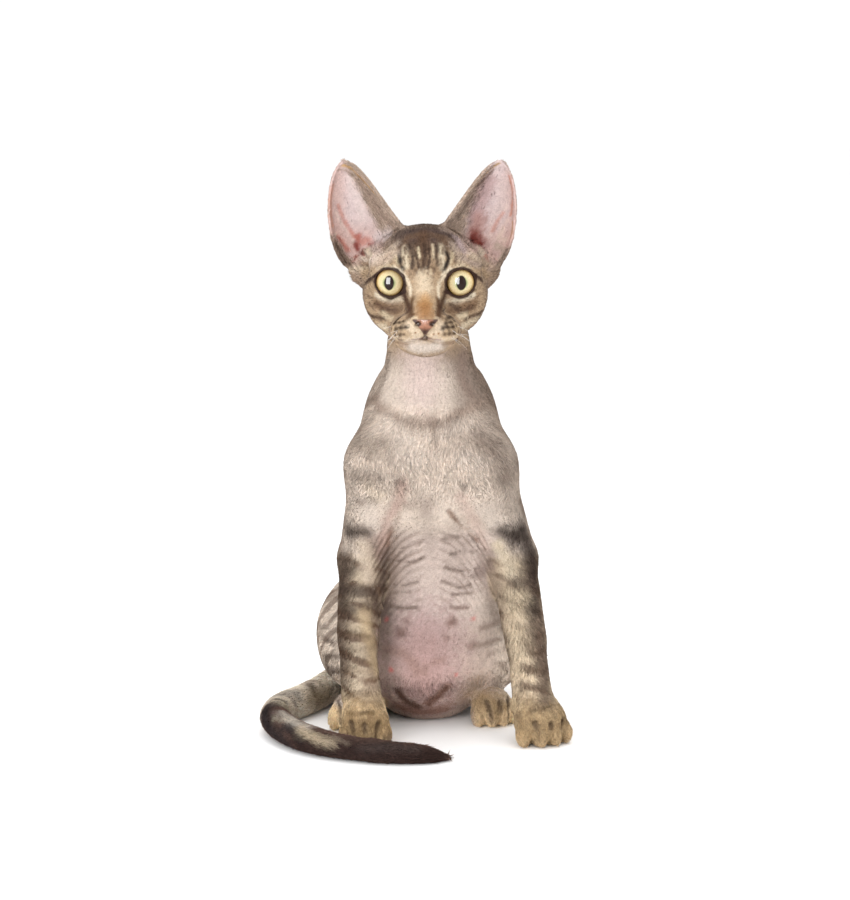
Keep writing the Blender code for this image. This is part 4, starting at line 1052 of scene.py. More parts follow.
    ((118, 98, 80), .45, 3, (54, -61, 40, 64, -60, 38)),
    ((110, 90, 74), .5, 3.2, (52, -64, 30, 66, -64, 29)),
    ((60, 46, 39), .9, 1.5, (56, -76, 20.5, 62, -77, 21, 68, -74, 22.5)),
    ((174, 148, 112), .8, 14, (52, -79, 10, 63, -82, 9, 75, -75, 9)),
    ((170, 144, 110), 0.95, 12, (31, -30, 15, 39, -35, 12)),
    ((178, 152, 148), 0.95, 22, (0, -37, 53, 0, -38, 39)),
    ((176, 145, 139), 0.95, 18, (-2, -38, 43, 0, -37, 24)),
    ((146, 112, 100), 0.95, 7, (-12, -24, 8, -2, -26, 7, 10, -26, 8)),
    ((116, 97, 87), .7, 1.3, (-21, -38.5, 95.5, -14, -36, 94.5, -6.5, -37.5, 94, -0.5, -41, 97.5)),
    ((116, 97, 87), 0.87, 1.3, (-20, -33.5, 80.5, -12, -32.5, 80, -4.5, -34.5, 82.5)),
    ((116, 97, 87), 0.72, 1.3, (-17, -31.5, 76, -8.5, -33.5, 77)),
    ((116, 97, 87), 0.94, 1.5, (-19, -30, 68, -12, -32.5, 67.5, -4.5, -34.5, 68.5)),
    ((116, 97, 87), 0.95, 1.3, (11.5, -37, 91, 19.5, -32.5, 88, 27, -32, 89, 35, -37.5, 94)),
    ((116, 97, 87), 0.87, 1.4, (9.5, -35, 83, 18.5, -33, 79.5, 25, -31.5, 80)),
    ((116, 97, 87), 0.80, 1.4, (15.5, -34, 75.5, 25, -32, 76, 33, -32.5, 79)),
    ((128, 104, 94), 0.87, 1.6, (14.5, -35, 68.5, 23.5, -33.5, 68)),
    ((90, 74, 66), .8, 4, (-22, -41, 100, -22, -38, 89, -22, -37, 79)),
    ((132, 112, 104), 0.72, 4, (29, -32, 87, 35, -37, 92)),
    ((128, 100, 92), 0.95, 4, (-14, -34, 54, -13, -34, 54)),
    ((132, 104, 95), 0.94, 3, (14, -36, 60, 16, -36, 61)),
    ((140, 112, 104), 0.72, 2.6, (-10, -34, 60)),
    ((140, 112, 104), 0.72, 2.8, (12, -37, 52)),
    ((150, 122, 114), 0.72, 2.6, (25, -34, 46, 27, -33, 47)),
    ((146, 116, 106), .65, 3.6, (-21, -31, 44, -12, -36, 43, -6, -38, 37, -4, -38, 33)),
    ((150, 120, 112), 0.72, 2.2, (0, -38, 36, 0, -38, 32)),
    ((150, 120, 112), 0.72, 2.4, (5, -38, 38, 10, -38, 40)),
    ((96, 68, 54), 0.95, 3.2, (-15, -32, 20, -9, -30, 13, -4, -30, 11)),
    ((120, 88, 74), 0.95, 3.2, (2, -32, 13, 8, -34, 19, 12, -35, 23)),
    ((206, 112, 106), .85, 1.6, (-21.5, -29, 60.5)),
    ((206, 118, 110), .8, 1.5, (27, -33.5, 62)),
    ((206, 112, 106), .85, 1.6, (-19, -33, 33)),
    ((206, 112, 106), .85, 1.5, (17.5, -35, 30.5)),
    ((150, 130, 118), 0.72, 2.2, (31, -32, 56, 41, -25, 58)),
    ((150, 130, 118), 0.72, 2.2, (28, -33, 46, 42, -23, 48)),
    ((150, 130, 118), .5, 2.2, (35, -27, 40, 44, -22, 42)),
    ((106, 88, 76), .75, 2.2, (-60, 0, 46, -51, -15, 44)),
    ((96, 80, 70), .7, 2.6, (-58, -8, 35, -49, -18, 37)),
    ((84, 68, 60), .75, 4, (-55, -9, 28, -50, -15, 28)),
    ((96, 80, 70), .6, 2, (-61, 9, 50, -55, -6, 51)),
    ((148, 128, 98), .7, 8, (-54, 7, 9, -63, -10, 12)),
    ((90, 76, 64), .7, 2.6, (-72, -15, 17, -70, -19, 14)),
    ((90, 76, 64), .6, 2.6, (-64, 0, 17, -62, -5, 14)),
    ((198, 186, 164), .8, 7, (-79, -35, 17, -76, -42, 15)),
    ((70, 62, 62), .7, 1.8, (-84, -33, 17, -76, -34, 15)),
    ((62, 52, 52), .95, 8, (-89, -46, 14, -88, -56, 10, -83, -70, 6, -75, -81, 2)),
    ((66, 56, 56), .85, 4, (-77, -79, 12, -70, -85, 14)),
    ((200, 188, 164), .9, 3.6, (-81, -66, 15, -72, -76, 16)),
    ((62, 45, 41), .95, 11, (-67, -92, 4, -46, -108, 6, -24, -115, 6, 6, -112, 4)),
    ((192, 178, 152), .85, 3.4, (-69, -90, 12, -65, -94, 12, -58, -99, 12)),
    ((176, 160, 140), .6, 1.8, (-49.5, -101.5, 13.5, -41.5, -108.5, 10.5)),
    ((92, 80, 76), .5, 3, (-35, -112, 9, -5, -114, 9)),
    ((176, 166, 154), .8, 5, (-84, -26, 17, -77, -18, 18, -70, -15, 16)),
    ((212, 202, 190), .9, 4.8, (-79, -61, 17, -71, -79, 16, -65, -88, 15)),
    ((206, 188, 162), .85, 3.6, (-69, -88, 13, -63, -96, 12, -56, -101, 10, -50, -105, 10)),
    ((58, 46, 46), .9, 4, (-86, -63, 6)),
    ((120, 100, 90), .6, 2.5, (-82, -57, 16, -79, -70, 15)),
    ((58, 46, 46), .8, 3, (-74, -82, 13, -67, -94, 8)),
]


def laid(colour, layer, weight):
    """The layer's colour painted over with the given weight."""
    return colour + (layer - colour) * weight[:, None]


def ear_share(places):
    """1 on the ears, 0 on the head below them."""
    x, z = places[:, 0], places[:, 2]
    edge = z - 0.2900 + np.abs(x - HEAD_X) * 0.80 + 0.002 * noise(places, 0.004, 14)
    return ramp(edge, -0.009, 0.006)


def ear_pouch(places):
    """1 on the furred lobe at the lower outer corner of each ear."""
    beside, z = np.abs(places[:, 0] - HEAD_X), places[:, 2]
    edge = z - 0.2555 - (beside - 0.0360) * 1.29 + 0.0015 * noise(places, 0.003, 16)
    return ramp(edge, 0.0015, -0.0025) * ramp(beside, 0.030, 0.034)


def bare_cup(places):
    """1 on the bare skin of each ear, outside the furred band along its inner edge."""
    x, z = places[:, 0] - HEAD_X, places[:, 2]
    border = np.where(x < 0, 0.0253 + (z - 0.277) * 0.49, 0.0211 + (z - 0.277) * 0.40)
    pouch = ear_pouch(places)
    border = border + 0.0012 * noise(places, 0.0022, 15)
    return ramp(np.abs(x) - border, -0.0026, 0.0030) * (1.0 - pouch)


def near_leg(places, side):
    """Distance from the middle of a foreleg below its elbow."""
    line = [FORELEG[side][k] for k in ("elbow", "middle", "wrist", "paw")]
    return polyline_distance(places, line, 0.030)[0]


def nose_share(places):
    """1 on the nose leather, which narrows downwards to the lip."""
    x, y, z = places.T
    rise = np.clip((z - 0.2250) / 0.0076, 0.0, 1.0)
    half = 0.0008 + 0.0058 * rise**1.25
    upright = ramp(z, 0.2338, 0.2328) * ramp(z, 0.2246, 0.2254)
    return ramp(np.abs(x - HEAD_X) - half, 0.0004, -0.0003) * upright * ramp(y, -0.0860, -0.0875)


def brindle(along, places, period, salt):
    """Broken bars across a limb or flank: 1 on a bar."""
    bars = np.sin((along / period + 0.4 * noise(places, 0.014, salt)) * 2 * math.pi)
    bars = bars + 0.9 * noise(places, 0.007, salt + 1) + 0.35 * noise(places, 0.0018, salt + 2)
    return ramp(bars, 0.0, 1.1)


def ground(places, facing):
    """The coat's ground colour, region by region, before its marks, with painted shade beside and on the sides of the
    forelegs and on one side of the neck.
    """
    x, y, z = places.T
    beside = np.abs(x - BODY_X)
    front = ramp(facing[:, 1], 0.2, -0.70)
    colour = np.tile(TAUPE, (len(places), 1))
    colour = laid(colour, BREAST, 0.9 * front * ramp(z, 0.215, 0.195))
    cloud = ramp(noise(places, 0.016, 51) + 0.5 * noise(places, 0.005, 52), -0.1, 0.9)
    colour = laid(colour, NAPE, 0.44 * cloud * ramp(z, 0.190, 0.180) * ramp(z, 0.100, 0.115))
    belly = front * ramp(z, 0.120, 0.106) * ramp(beside, 0.040, 0.032)
    colour = laid(colour, BELLY, belly)
    colour = laid(colour, BELLY_LOW, 0.8 * belly * ramp(z, 0.068, 0.050))
    colour = laid(colour, NAPE, 0.70 * belly * ramp(x - BODY_X, -0.004, -0.026) * ramp(z, 0.020, 0.040))
    colour = laid(colour, HAUNCH, 0.45 * belly * ramp(x - BODY_X, 0.016, 0.032) * ramp(z, 0.090, 0.070))
    haunch = ramp(beside, 0.030, 0.042) * ramp(z + 0.010 * noise(places, 0.012, 54), 0.135, 0.062)
    colour = laid(colour, HAUNCH, 0.75 * haunch)
    colour = laid(colour, BROWN, 0.60 * haunch * brindle(y + 0.45 * z, places, 0.0110, 41))
    bars = np.sin((z + y * 0.35 + 0.006 * noise(places, 0.030, 11)) * 2 * math.pi / 0.021)
    broken = ramp(noise(places, 0.016, 12) + 0.6 * bars, 0.15, 0.75)
    side_on = ramp(facing[:, 1], -0.75, -0.15) * ramp(z, 0.210, 0.195)
    colour = laid(colour, BROWN, 0.50 * broken * side_on)
    spine = ramp(facing[:, 1], 0.2, 0.6) * ramp(beside, 0.009, 0.004) * ramp(z, 0.215, 0.200)
    colour = laid(colour, TAIL_DARK, 0.65 * spine)
    leg = np.maximum(ramp(near_leg(places, 1), 0.0170, 0.0145), ramp(near_leg(places, -1), 0.0170, 0.0145))
    leg = leg * ramp(z, 0.104, 0.092)
    colour = laid(colour, LEG * np.where(x < BODY_X, 0.72, 1.0)[:, None], 0.85 * leg)
    # Painted shade on the belly where it meets the forelegs
    apart = np.minimum(near_leg(places, 1), near_leg(places, -1))
    colour = laid(colour, BROWN, 0.45 * belly * ramp(apart, 0.0235, 0.0170))
    # The forelegs darker on their outer sides, partly their own colour and partly painted shade where they turn from
    # the light, and painted shade on their inner sides, which face the body
    outward = facing[:, 0] * np.sign(x - BODY_X)
    colour = laid(colour, LEG_SIDE, 0.70 * leg * ramp(outward, 0.15, 0.75) * ramp(z, 0.022, 0.040))
    colour = laid(colour, LEG_SIDE, 0.45 * leg * ramp(outward, -0.35, -0.85) * ramp(z, 0.022, 0.040))
    bars = brindle(z + 0.35 * (x - BODY_X), places, 0.0095, 43) * ramp(z, 0.016, 0.026)
    colour = laid(colour, BROWN, np.where(x < BODY_X, 0.85, 0.62) * leg * bars)
    # Painted shade on the side of the neck that faces +X, away from the key light
    colour = laid(colour, NAPE, 0.75 * ramp(facing[:, 0], 0.25, 0.75) * ramp(z, 0.165, 0.185) * ramp(z, 0.222, 0.212))
    foot = np.maximum(leg, ramp(z, 0.016, 0.012) * ramp(y, -0.004, -0.014) * ramp(beside, 0.022, 0.027))
    foot = foot * ramp(z, 0.030, 0.018)
    lift = np.where(leg > 0.5, np.where(x < BODY_X, 1.35, 0.88), 1.50)
    colour = laid(colour, PAW * lift[:, None], 0.90 * foot)
    dapple = ramp(noise(places, 0.0030, 50) + 0.5 * noise(places, 0.0012, 53), -0.1, 0.7)
    colour = laid(colour, BROWN, 0.62 * foot * dapple * ramp(z, 0.005, 0.014))
    gap, knot = near_tail(places)
    tail = ramp(gap, 0.0040, 0.0015)
    colour = laid(colour, TAIL, tail * (0.25 + 0.75 * ramp(knot + 2.0 * noise(places, 0.008, 55), 2.0, 9.0)))
    rings = ramp(np.sin(knot * 2 * math.pi / 4.2) + 0.5 * noise(places, 0.008, 13), 0.2, 0.8)
    colour = laid(colour, BROWN, 0.42 * tail * rings)
    colour = laid(colour, BROWN, 0.30 * tail * ramp(noise(places, 0.0060, 45), 0.0, 0.8))
    colour = laid(colour, TAIL_DARK, 0.95 * tail * ramp(knot, 19.0, 22.0))
    head = ramp(z, 0.205, 0.222) * ramp(y, 0.004, -0.010)
    colour = laid(colour, FACE, head * ramp(facing[:, 1], 0.1, -0.3))
    colour = laid(colour, NAPE, 0.8 * head * ramp(facing[:, 1], -0.3, 0.1))
    colour = laid(colour, CROWN, 0.9 * head * ramp(z + 0.0030 * noise(places, 0.0022, 46), 0.2630, 0.2710))
    streaks = np.sin((x + 0.0010 * noise(places, 0.006, 47)) * 2 * math.pi / 0.0024)
    pale = ramp(streaks + noise(places, 0.0030, 48), 0.4, 1.2)
    colour = laid(colour, TAUPE, 0.30 * head * pale * ramp(z, 0.262, 0.268))
    return colour


def ear_painted(colour, places, facing):
    x, y, z = places.T
    ear = ear_share(places)
    colour = laid(colour, EAR_FUR, ear)
    bare = ear * ramp(facing[:, 1], 0.25, -0.10) * bare_cup(places)
    skin = laid(np.tile(LILAC, (len(places), 1)), EAR_PINK, 0.5 * ramp(np.abs(x - HEAD_X), 0.040, 0.048))
    skin = laid(skin, EAR_PINK, 0.6 * ramp(z, 0.286, 0.268))
    colour = laid(colour, POUCH, 0.8 * ear_pouch(places) * ramp(z, 0.236, 0.246) * ramp(facing[:, 1], 0.25, -0.10))
    return colour + (skin - colour) * bare[:, None]


def shown(places, facing):
    """How much lighter or darker the parts with short hair are laid on, and how mottled."""
    x, y, z = places.T
    front = ramp(facing[:, 1], 0.2, -0.6)
    short = np.maximum(ramp(z, 0.205, 0.222), front * ramp(z, 0.178, 0.186))
    short = np.maximum(short, 0.8 * front * ramp(z, 0.150, 0.125) * ramp(np.abs(x - BODY_X), 0.062, 0.050) * ramp(z, 0.03, 0.05))
    grain = 1.0 + 0.13 * noise(places, 0.0011, 23) + 0.10 * noise(places, 0.0005, 24)
    return (1.0 - 0.26 * short) * grain


def painted(places, facing):
    """The colour of skin or coat at each place, facing a direction, with painted shade in the belly's wrinkles,
    between the toes and in the nostrils.
    """
    colour = ear_painted(ground(places, facing), places, facing)
    seen = ramp(facing[:, 1], 0.45, 0.10)
    ragged = 1.0 + 0.22 * noise(places, 0.0028, 21) + 0.30 * noise(places, 0.0009, 22)
    for layer, strength, width, points in MARKS:
        line = np.array(points).reshape(-1, 3) / 1000.0
        reach = width / 1000.0
        low, high = line.min(axis=0) - 1.5 * reach, line.max(axis=0) + 1.5 * reach
        close = np.flatnonzero(np.all((places > low) & (places < high), axis=1))
        if len(close):
            away = polyline_distance(places[close], line, 2.0 * reach)[0]
            soft = 0.10 if width > 1.15 else 0.40
            weight = strength * ramp(away / reach * ragged[close], 1.5 - 0.5 * soft, soft) * seen[close]
            colour[close] = laid(colour[close], srgb(*layer), weight)
    # Painted shade in the troughs of the belly's wrinkles
    colour = laid(colour, BROWN, 0.40 * ramp(belly_wave(places), 0.25, 0.85))
    # Painted shade in the clefts between the toes, and the dark slits of the claws
    low = np.flatnonzero(places[:, 2] < 0.022)
    for lines, outer, inner in ((CLEFTS, 0.0026, 0.0006), (CLAWS, 0.0013, 0.0003)):
        for line in lines:
            away, along = polyline_distance(places[low], line, 0.003)
            colour[low] = laid(colour[low], RIM_AND_SHADE, ramp(away, outer, inner) * (0.95 - 0.45 * np.clip(along, 0.0, 1.0)))
    for side in (1, -1):
        offset = places - eye_centre(side)
        ahead = offset @ gaze(side)
        across, up = side * offset[:, 0], offset[:, 2]
        along = math.cos(LID_TILT) * across + math.sin(LID_TILT) * up
        over = math.cos(LID_TILT) * up - math.sin(LID_TILT) * across
        out = np.hypot(along / 1.03, over / 0.95) + 0.0004 * noise(places, 0.0016, 49)
        corner = np.exp(-(((over + 0.0012) / 0.0016) ** 2)) * ramp(along, -0.004, -0.008)
        out = out + 0.0010 * ramp(along, -0.003, -0.008) - 0.0012 * corner - 0.0008 * np.exp(-((over / 0.0015) ** 2)) * ramp(along, 0.005, 0.008)
        colour = laid(colour, RIM_AND_SHADE, 0.97 * ramp(out, 0.0095, 0.0084) * ramp(ahead, 0.0005, 0.002))
    nose = nose_share(places)
    x, z = np.abs(places[:, 0] - HEAD_X), places[:, 2]
    dark = np.maximum(ramp(z, 0.2296, 0.2268), ramp(x, 0.0030, 0.0048))
    dark = np.maximum(dark, 0.6 * ramp(z, 0.2322, 0.2334))
    leather = laid(np.tile(LEATHER, (len(places), 1)), LEATHER_DARK, 0.9 * dark)
    # Painted shade in the nostrils
    nostril = np.hypot(x - 0.0040, (z - 0.2308) * 1.4)
    leather = laid(leather, RIM_AND_SHADE, 0.9 * ramp(nostril, 0.0026, 0.0012))
    return (colour + (leather - colour) * nose[:, None]) * shown(places, facing)[:, None]


def material(name, roughness, gloss, scale, relief):
    """A material that takes its colour from the mesh, with a fine grain in colour and relief."""
    made = bpy.data.materials.new(name)
    made.use_nodes = True
    nodes, links = made.node_tree.nodes, made.node_tree.links
    shader = nodes.get("Principled BSDF")
    shader.inputs["Roughness"].default_value = roughness
    shader.inputs["Specular IOR Level"].default_value = gloss
    colour = nodes.new("ShaderNodeAttribute")
    colour.attribute_name = "tint"
    grain = nodes.new("ShaderNodeTexNoise")
    grain.inputs["Scale"].default_value = scale
    grain.inputs["Detail"].default_value = 3.0
    place = nodes.new("ShaderNodeTexCoord")
    links.new(place.outputs["Object"], grain.inputs["Vector"])
    mix = nodes.new("ShaderNodeMix")
    mix.data_type = "RGBA"
    mix.blend_type = "OVERLAY"
    mix.inputs["Factor"].default_value = 0.35
    links.new(colour.outputs["Color"], mix.inputs["A"])
    links.new(grain.outputs["Fac"], mix.inputs["B"])
    links.new(mix.outputs["Result"], shader.inputs["Base Color"])
    bump = nodes.new("ShaderNodeBump")
    bump.inputs["Strength"].default_value = relief
    bump.inputs["Distance"].default_value = 0.0003
    links.new(grain.outputs["Fac"], bump.inputs["Height"])
    links.new(bump.outputs["Normal"], shader.inputs["Normal"])
    return made


def tinted(mesh, colours, name="tint"):
    layer = mesh.attributes.new(name, "FLOAT_COLOR", "POINT")
    layer.data.foreach_set("color", np.column_stack([colours, np.ones(len(colours))]).ravel().astype(np.float32))


def placed(piece, slot, *replaced):
    """The piece rides on the body and stands for the nodes. The slot is not used."""
    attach(piece, "root")
    if replaced:
        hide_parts(*replaced)


def aim(piece, target):
    piece.rotation_euler = (Vector(target) - piece.location).to_track_quat("-Z", "Y").to_euler()


def studio():
    """Camera, pale floor and soft light."""
    camera = bpy.data.objects.new("camera", bpy.data.cameras.new("camera"))
    camera.location = (0.0, -1.4854, 0.36006)
    camera.data.lens = 107.14
    camera.data.sensor_width = 36.0
    aim(camera, (0.0, 0.0, 0.1513))
    SCENE.collection.objects.link(camera)
    SCENE.camera = camera
    mesh = bmesh.new()
    bmesh.ops.create_grid(mesh, x_segments=2, y_segments=2, size=12.0)
    data = bpy.data.meshes.new("floor")
    mesh.to_mesh(data)
    mesh.free()
    floor = bpy.data.objects.new("floor", data)
    SCENE.collection.objects.link(floor)
    white = bpy.data.materials.new("paper")
    white.use_nodes = True
    paper = white.node_tree.nodes["Principled BSDF"]
    paper.inputs["Base Color"].default_value = (0.97, 0.97, 0.97, 1.0)
    paper.inputs["Roughness"].default_value = 0.9
    data.materials.append(white)
    lights = [
        ("key", (-0.62, -1.28, 0.42), (0.5, 0.9), 8.0, True),
        ("fill", (0.95, -0.95, 0.55), (0.9, 0.9), 2.0, True),
        ("top", (0.0, 0.1, 1.3), (0.9, 0.9), 6.0, True),
        ("window", (-0.42, -1.25, 0.42), (0.70, 1.50), 150.0, False),
    ]
    for name, place, size, power, soft in lights:
        lamp = bpy.data.lights.new(name, "AREA")
        lamp.shape = "RECTANGLE"
        lamp.size, lamp.size_y = size
        lamp.energy = power
        made = bpy.data.objects.new(name, lamp)
        made.location = place
        made.visible_diffuse = soft
        aim(made, (0.0, 0.0, 0.15))
        SCENE.collection.objects.link(made)
    world = bpy.data.worlds.new("studio")
    SCENE.world = world
    world.use_nodes = True
    sky = world.node_tree.nodes["Background"]
    sky.inputs["Color"].default_value = (1.0, 1.0, 1.0, 1.0)
    sky.inputs["Strength"].default_value = 1.05
    SCENE.view_settings.view_transform = "Standard"


LID_TILT = math.radians(24.0)


def open_lids(body):
    """The oval opening of each eye cut through the lids, its rim rounded."""
    for side in (1, -1):
        mesh = bmesh.new()
        turn = Vector(gaze(side)).to_track_quat("Z", "Y").to_matrix().to_4x4()
        size = Matrix.Diagonal((1.04 * APERTURE_WIDTH / 2, 0.92 * APERTURE_HEIGHT / 2, 1.0, 1.0))
        size = Matrix.Rotation(LID_TILT * side, 4, "Z") @ size
        depth = 2.0 * EYE_RADIUS
        place = Matrix.Translation(eye_centre(side)) @ turn @ Matrix.Translation((0, 0, depth / 2)) @ size
        rims = {"radius1": 0.86, "radius2": 1.34}
        bmesh.ops.create_cone(mesh, cap_ends=True, segments=96, depth=depth, matrix=place, **rims)
        data = bpy.data.meshes.new("opening")
        mesh.to_mesh(data)
        mesh.free()
        cutter = bpy.data.objects.new("opening", data)
        SCENE.collection.objects.link(cutter)
        step = body.modifiers.new("opening", "BOOLEAN")
        step.operation = "DIFFERENCE"
        step.object = cutter
        step.solver = "MANIFOLD"
        settled(body)
        bpy.data.objects.remove(cutter)
    places, edges = coordinates(body.data), edge_ends(body.data)
    for side in (1, -1):
        offset = places - eye_centre(side)
        ahead = offset @ gaze(side)
        out = np.linalg.norm(offset - ahead[:, None] * gaze(side), axis=1)
        rim = (np.abs(out - APERTURE_WIDTH / 2) < 0.0022) & (ahead > 0.003)
        for _ in range(3):
            places = np.where(rim[:, None], relaxed(places, edges, 0.5), places)
    put(body.data, places)


def quick_mesh(name, places, faces):
    """A new object from arrays of places and triangles."""
    data = bpy.data.meshes.new(name)
    data.vertices.add(len(places))
    data.vertices.foreach_set("co", places.astype(np.float32).ravel())
    data.loops.add(faces.size)
    data.loops.foreach_set("vertex_index", faces.astype(np.int32).ravel())
    data.polygons.add(len(faces))
    data.polygons.foreach_set("loop_start", np.arange(len(faces), dtype=np.int32) * 3)
    data.update(calc_edges=True)
    made = bpy.data.objects.new(name, data)
    SCENE.collection.objects.link(made)
    return made


def unit(vectors):
    return vectors / np.maximum(np.linalg.norm(vectors, axis=1, keepdims=True), 1e-9)


def lie(places, facing):
    """The way the coat lies: back from the nose, down the body and limbs, and along ears and tail."""
    x, y, z = places.T
    side = np.sign(x - HEAD_X)
    down = np.stack([0.25 * (x - BODY_X) / 0.04, np.full(len(x), 0.35), np.full(len(x), -1.0)], axis=1)
    way = unit(down)
    feet = ramp(z, 0.030, 0.014)[:, None]
    way = unit(way * (1 - feet) + np.array([0.0, -1.0, -0.35]) * feet)
    nose = np.array(head_place(0.0, -0.0960, 0.2390))
    back = unit(places - nose)
    head = (ramp(z, 0.205, 0.216) * ramp(y, -0.02, -0.05))[:, None]
    head = np.maximum(head, ramp(z, 0.235, 0.245)[:, None])
    way = unit(way * (1 - head) + back * head)
    tips = np.stack([HEAD_X + side * EAR_TIP[0], np.full(len(x), EAR_TIP[1]), np.full(len(x), EAR_TIP[2])], axis=1)
    ear = ear_share(places)[:, None]
    way = unit(way * (1 - ear) + unit(tips - places) * ear)
    gap, knot = near_tail(places)
    along = unit(np.gradient(TAIL_KNOTS[:, :3], axis=0))[knot]
    tail = ramp(gap, 0.0040, 0.0015)[:, None]
    way = unit(way * (1 - tail) + along * tail)
    wave = 0.40 * noise(places, 0.011, 31) * (1 - head[:, 0] * 0.6)
    way = way - facing * np.sum(way * facing, axis=1)[:, None]
    way = unit(way)
    across = np.cross(facing, way)
    return unit(way * np.cos(wave)[:, None] + across * np.sin(wave)[:, None])


def coat_sizes(places, facing):
    """Tufts a square millimetre, and a tuft's length, width and rise in metres."""
    x, y, z = places.T
    n = len(places)
    density, length, width, rise = np.full(n, 2.5), np.full(n, 0.0036), np.full(n, 0.00032), np.full(n, 0.00025)

    def shift(share, d, long, wide, high):
        nonlocal density, length, width, rise
        density = density + (d - density) * share
        length = length + (long / 1000 - length) * share
        width = width + (wide / 1000 - width) * share
        rise = rise + (high / 1000 - rise) * share

    front = ramp(facing[:, 1], -0.1, -0.6)
    belly = front * ramp(z, 0.150, 0.125) * ramp(np.abs(x - BODY_X), 0.046, 0.034) * ramp(y, -0.008, -0.020)
    shift(belly * ramp(z, 0.03, 0.05), 1.8, 1.5, 0.19, 0.05)
    shift(belly * ramp(z, 0.085, 0.070), 0.5, 1.5, 0.17, 0.18)
    throat = front * ramp(z, 0.176, 0.186) * ramp(z, 0.222, 0.216)
    shift(throat, 1.4, 1.6, 0.18, 0.10)
    shift(ramp(z, 0.208, 0.222) * ramp(y, 0.01, -0.01), 2.2, 2.2, 0.30, 0.36)
    face = ramp(y, -0.058, -0.068) * ramp(z, 0.208, 0.220)
    shift(face, 3.8, 1.4, 0.20, 0.22)
    muzzle = ramp(y, -0.074, -0.082) * ramp(z, 0.208, 0.220)
    shift(muzzle, 3.0, 0.8, 0.15, 0.18)
    shift(ramp(z, 0.034, 0.022) * ramp(y, 0.0, -0.030), 3.2, 2.2, 0.34, 0.55)
    gap, knot = near_tail(places)
    shift(ramp(gap, 0.004, 0.0015), 2.6, 5.0, 0.40, 0.70)
    ear = ear_share(places)
    shift(ear, 2.8, 2.2, 0.30, 0.40)
    inside = ear * ramp(facing[:, 1], 0.25, -0.10) * bare_cup(places)
    density = density * (1.0 - 0.985 * inside)
    for side in (1, -1):
        near = np.linalg.norm(places - eye_centre(side), axis=1)
        density = density * ramp(near, 0.0104, 0.0114)
    density = density * (1.0 - np.clip(1.5 * nose_share(places), 0.0, 1.0))
    return density, length, width, rise


# Each coat piece and the most tufts it may have
PIECES = [("coat_head", 33000), ("coat_ears", 16000), ("coat_neck", 32000), ("coat_breast", 33000),
          ("coat_body_back", 24000), ("coat_forelegs", 33000), ("coat_haunches", 27000), ("coat_tail", 33000),
          ("coat_belly", 18000)]


def coat_region(places, cat):
    """The number of the coat piece that each place belongs to."""
    x, y, z = places.T
    region = np.where(y < 0.0, 3, 4)
    region = np.where((y < 0.0) & (z < 0.112), 8, region)
    region = np.where(z > 0.158, 2, region)
    region = np.where((z < 0.086) & (np.abs(x - BODY_X) > 0.030), 6, region)
    legs = np.minimum(cat.legs[0].field(places), cat.legs[1].field(places))
    region = np.where((legs < 0.0030) & (z < 0.100), 5, region)
    region = np.where((z > 0.212) & (y < 0.02), 0, region)
    region = np.where((ear_share(places) > 0.5) & (z > 0.24), 1, region)
    return np.where(near_tail(places)[0] < 0.003, 7, region)


def unwrapped(body):
    """A UV map of a coarse copy of the skin, to be read at any place near it."""
    copy = bpy.data.objects.new("unwrap", body.data.copy())
    SCENE.collection.objects.link(copy)
    fewer = copy.modifiers.new("fewer", "DECIMATE")
    fewer.ratio = 6000.0 / len(body.data.polygons)
    settled(copy)
    bpy.context.view_layer.objects.active = copy
    copy.select_set(True)
    bpy.ops.object.mode_set(mode="EDIT")
    bpy.ops.mesh.select_all(action="SELECT")
    bpy.ops.uv.smart_project(angle_limit=math.radians(66), island_margin=0.004)
    bpy.ops.object.mode_set(mode="OBJECT")
    data = copy.data
    data.calc_loop_triangles()
    corners = np.empty(len(data.loop_triangles) * 3, dtype=np.int32)
    data.loop_triangles.foreach_get("vertices", corners)
    loops = np.empty(len(data.loop_triangles) * 3, dtype=np.int32)
    data.loop_triangles.foreach_get("loops", loops)
    uv = np.empty(len(data.loops) * 2)
    data.uv_layers.active.data.foreach_get("uv", uv)
    places = coordinates(data)
    corners, uv = corners.reshape(-1, 3), uv.reshape(-1, 2)[loops.reshape(-1, 3)]
    tree = BVHTree.FromPolygons([tuple(p) for p in places], [tuple(int(k) for k in c) for c in corners])
    bpy.data.objects.remove(copy)

    def read(wanted):
        hits = [tree.find_nearest(Vector(place)) for place in wanted]
        face = np.array([hit[2] for hit in hits])
        spot = np.array([hit[0] for hit in hits])
        a, b, c = (places[corners[face, k]] for k in range(3))
        ab, ac, ap = b - a, c - a, spot - a
        d00, d01, d11 = (np.einsum("ij,ij->i", p, q) for p, q in ((ab, ab), (ab, ac), (ac, ac)))
        d20, d21 = np.einsum("ij,ij->i", ap, ab), np.einsum("ij,ij->i", ap, ac)
        scale = np.maximum(d00 * d11 - d01 * d01, 1e-18)
        v, w = (d11 * d20 - d01 * d21) / scale, (d00 * d21 - d01 * d20) / scale
        share = np.stack([1 - v - w, v, w], axis=1)
        return np.einsum("ij,ijk->ik", share, uv[face])

    return read


TUFT_FACES = np.array([(0, 2, 1), (0, 3, 2), (0, 4, 3), (1, 2, 3), (1, 3, 4), (0, 1, 4)])
TUFT_UV = np.array([(-0.5, -0.5), (0.5, -0.5), (0.0, -0.2), (0.05, 0.15), (0.0, 0.5)]) * 0.003
TUFT_SHADE = np.array([0.80, 0.80, 0.92, 1.04, 1.16])


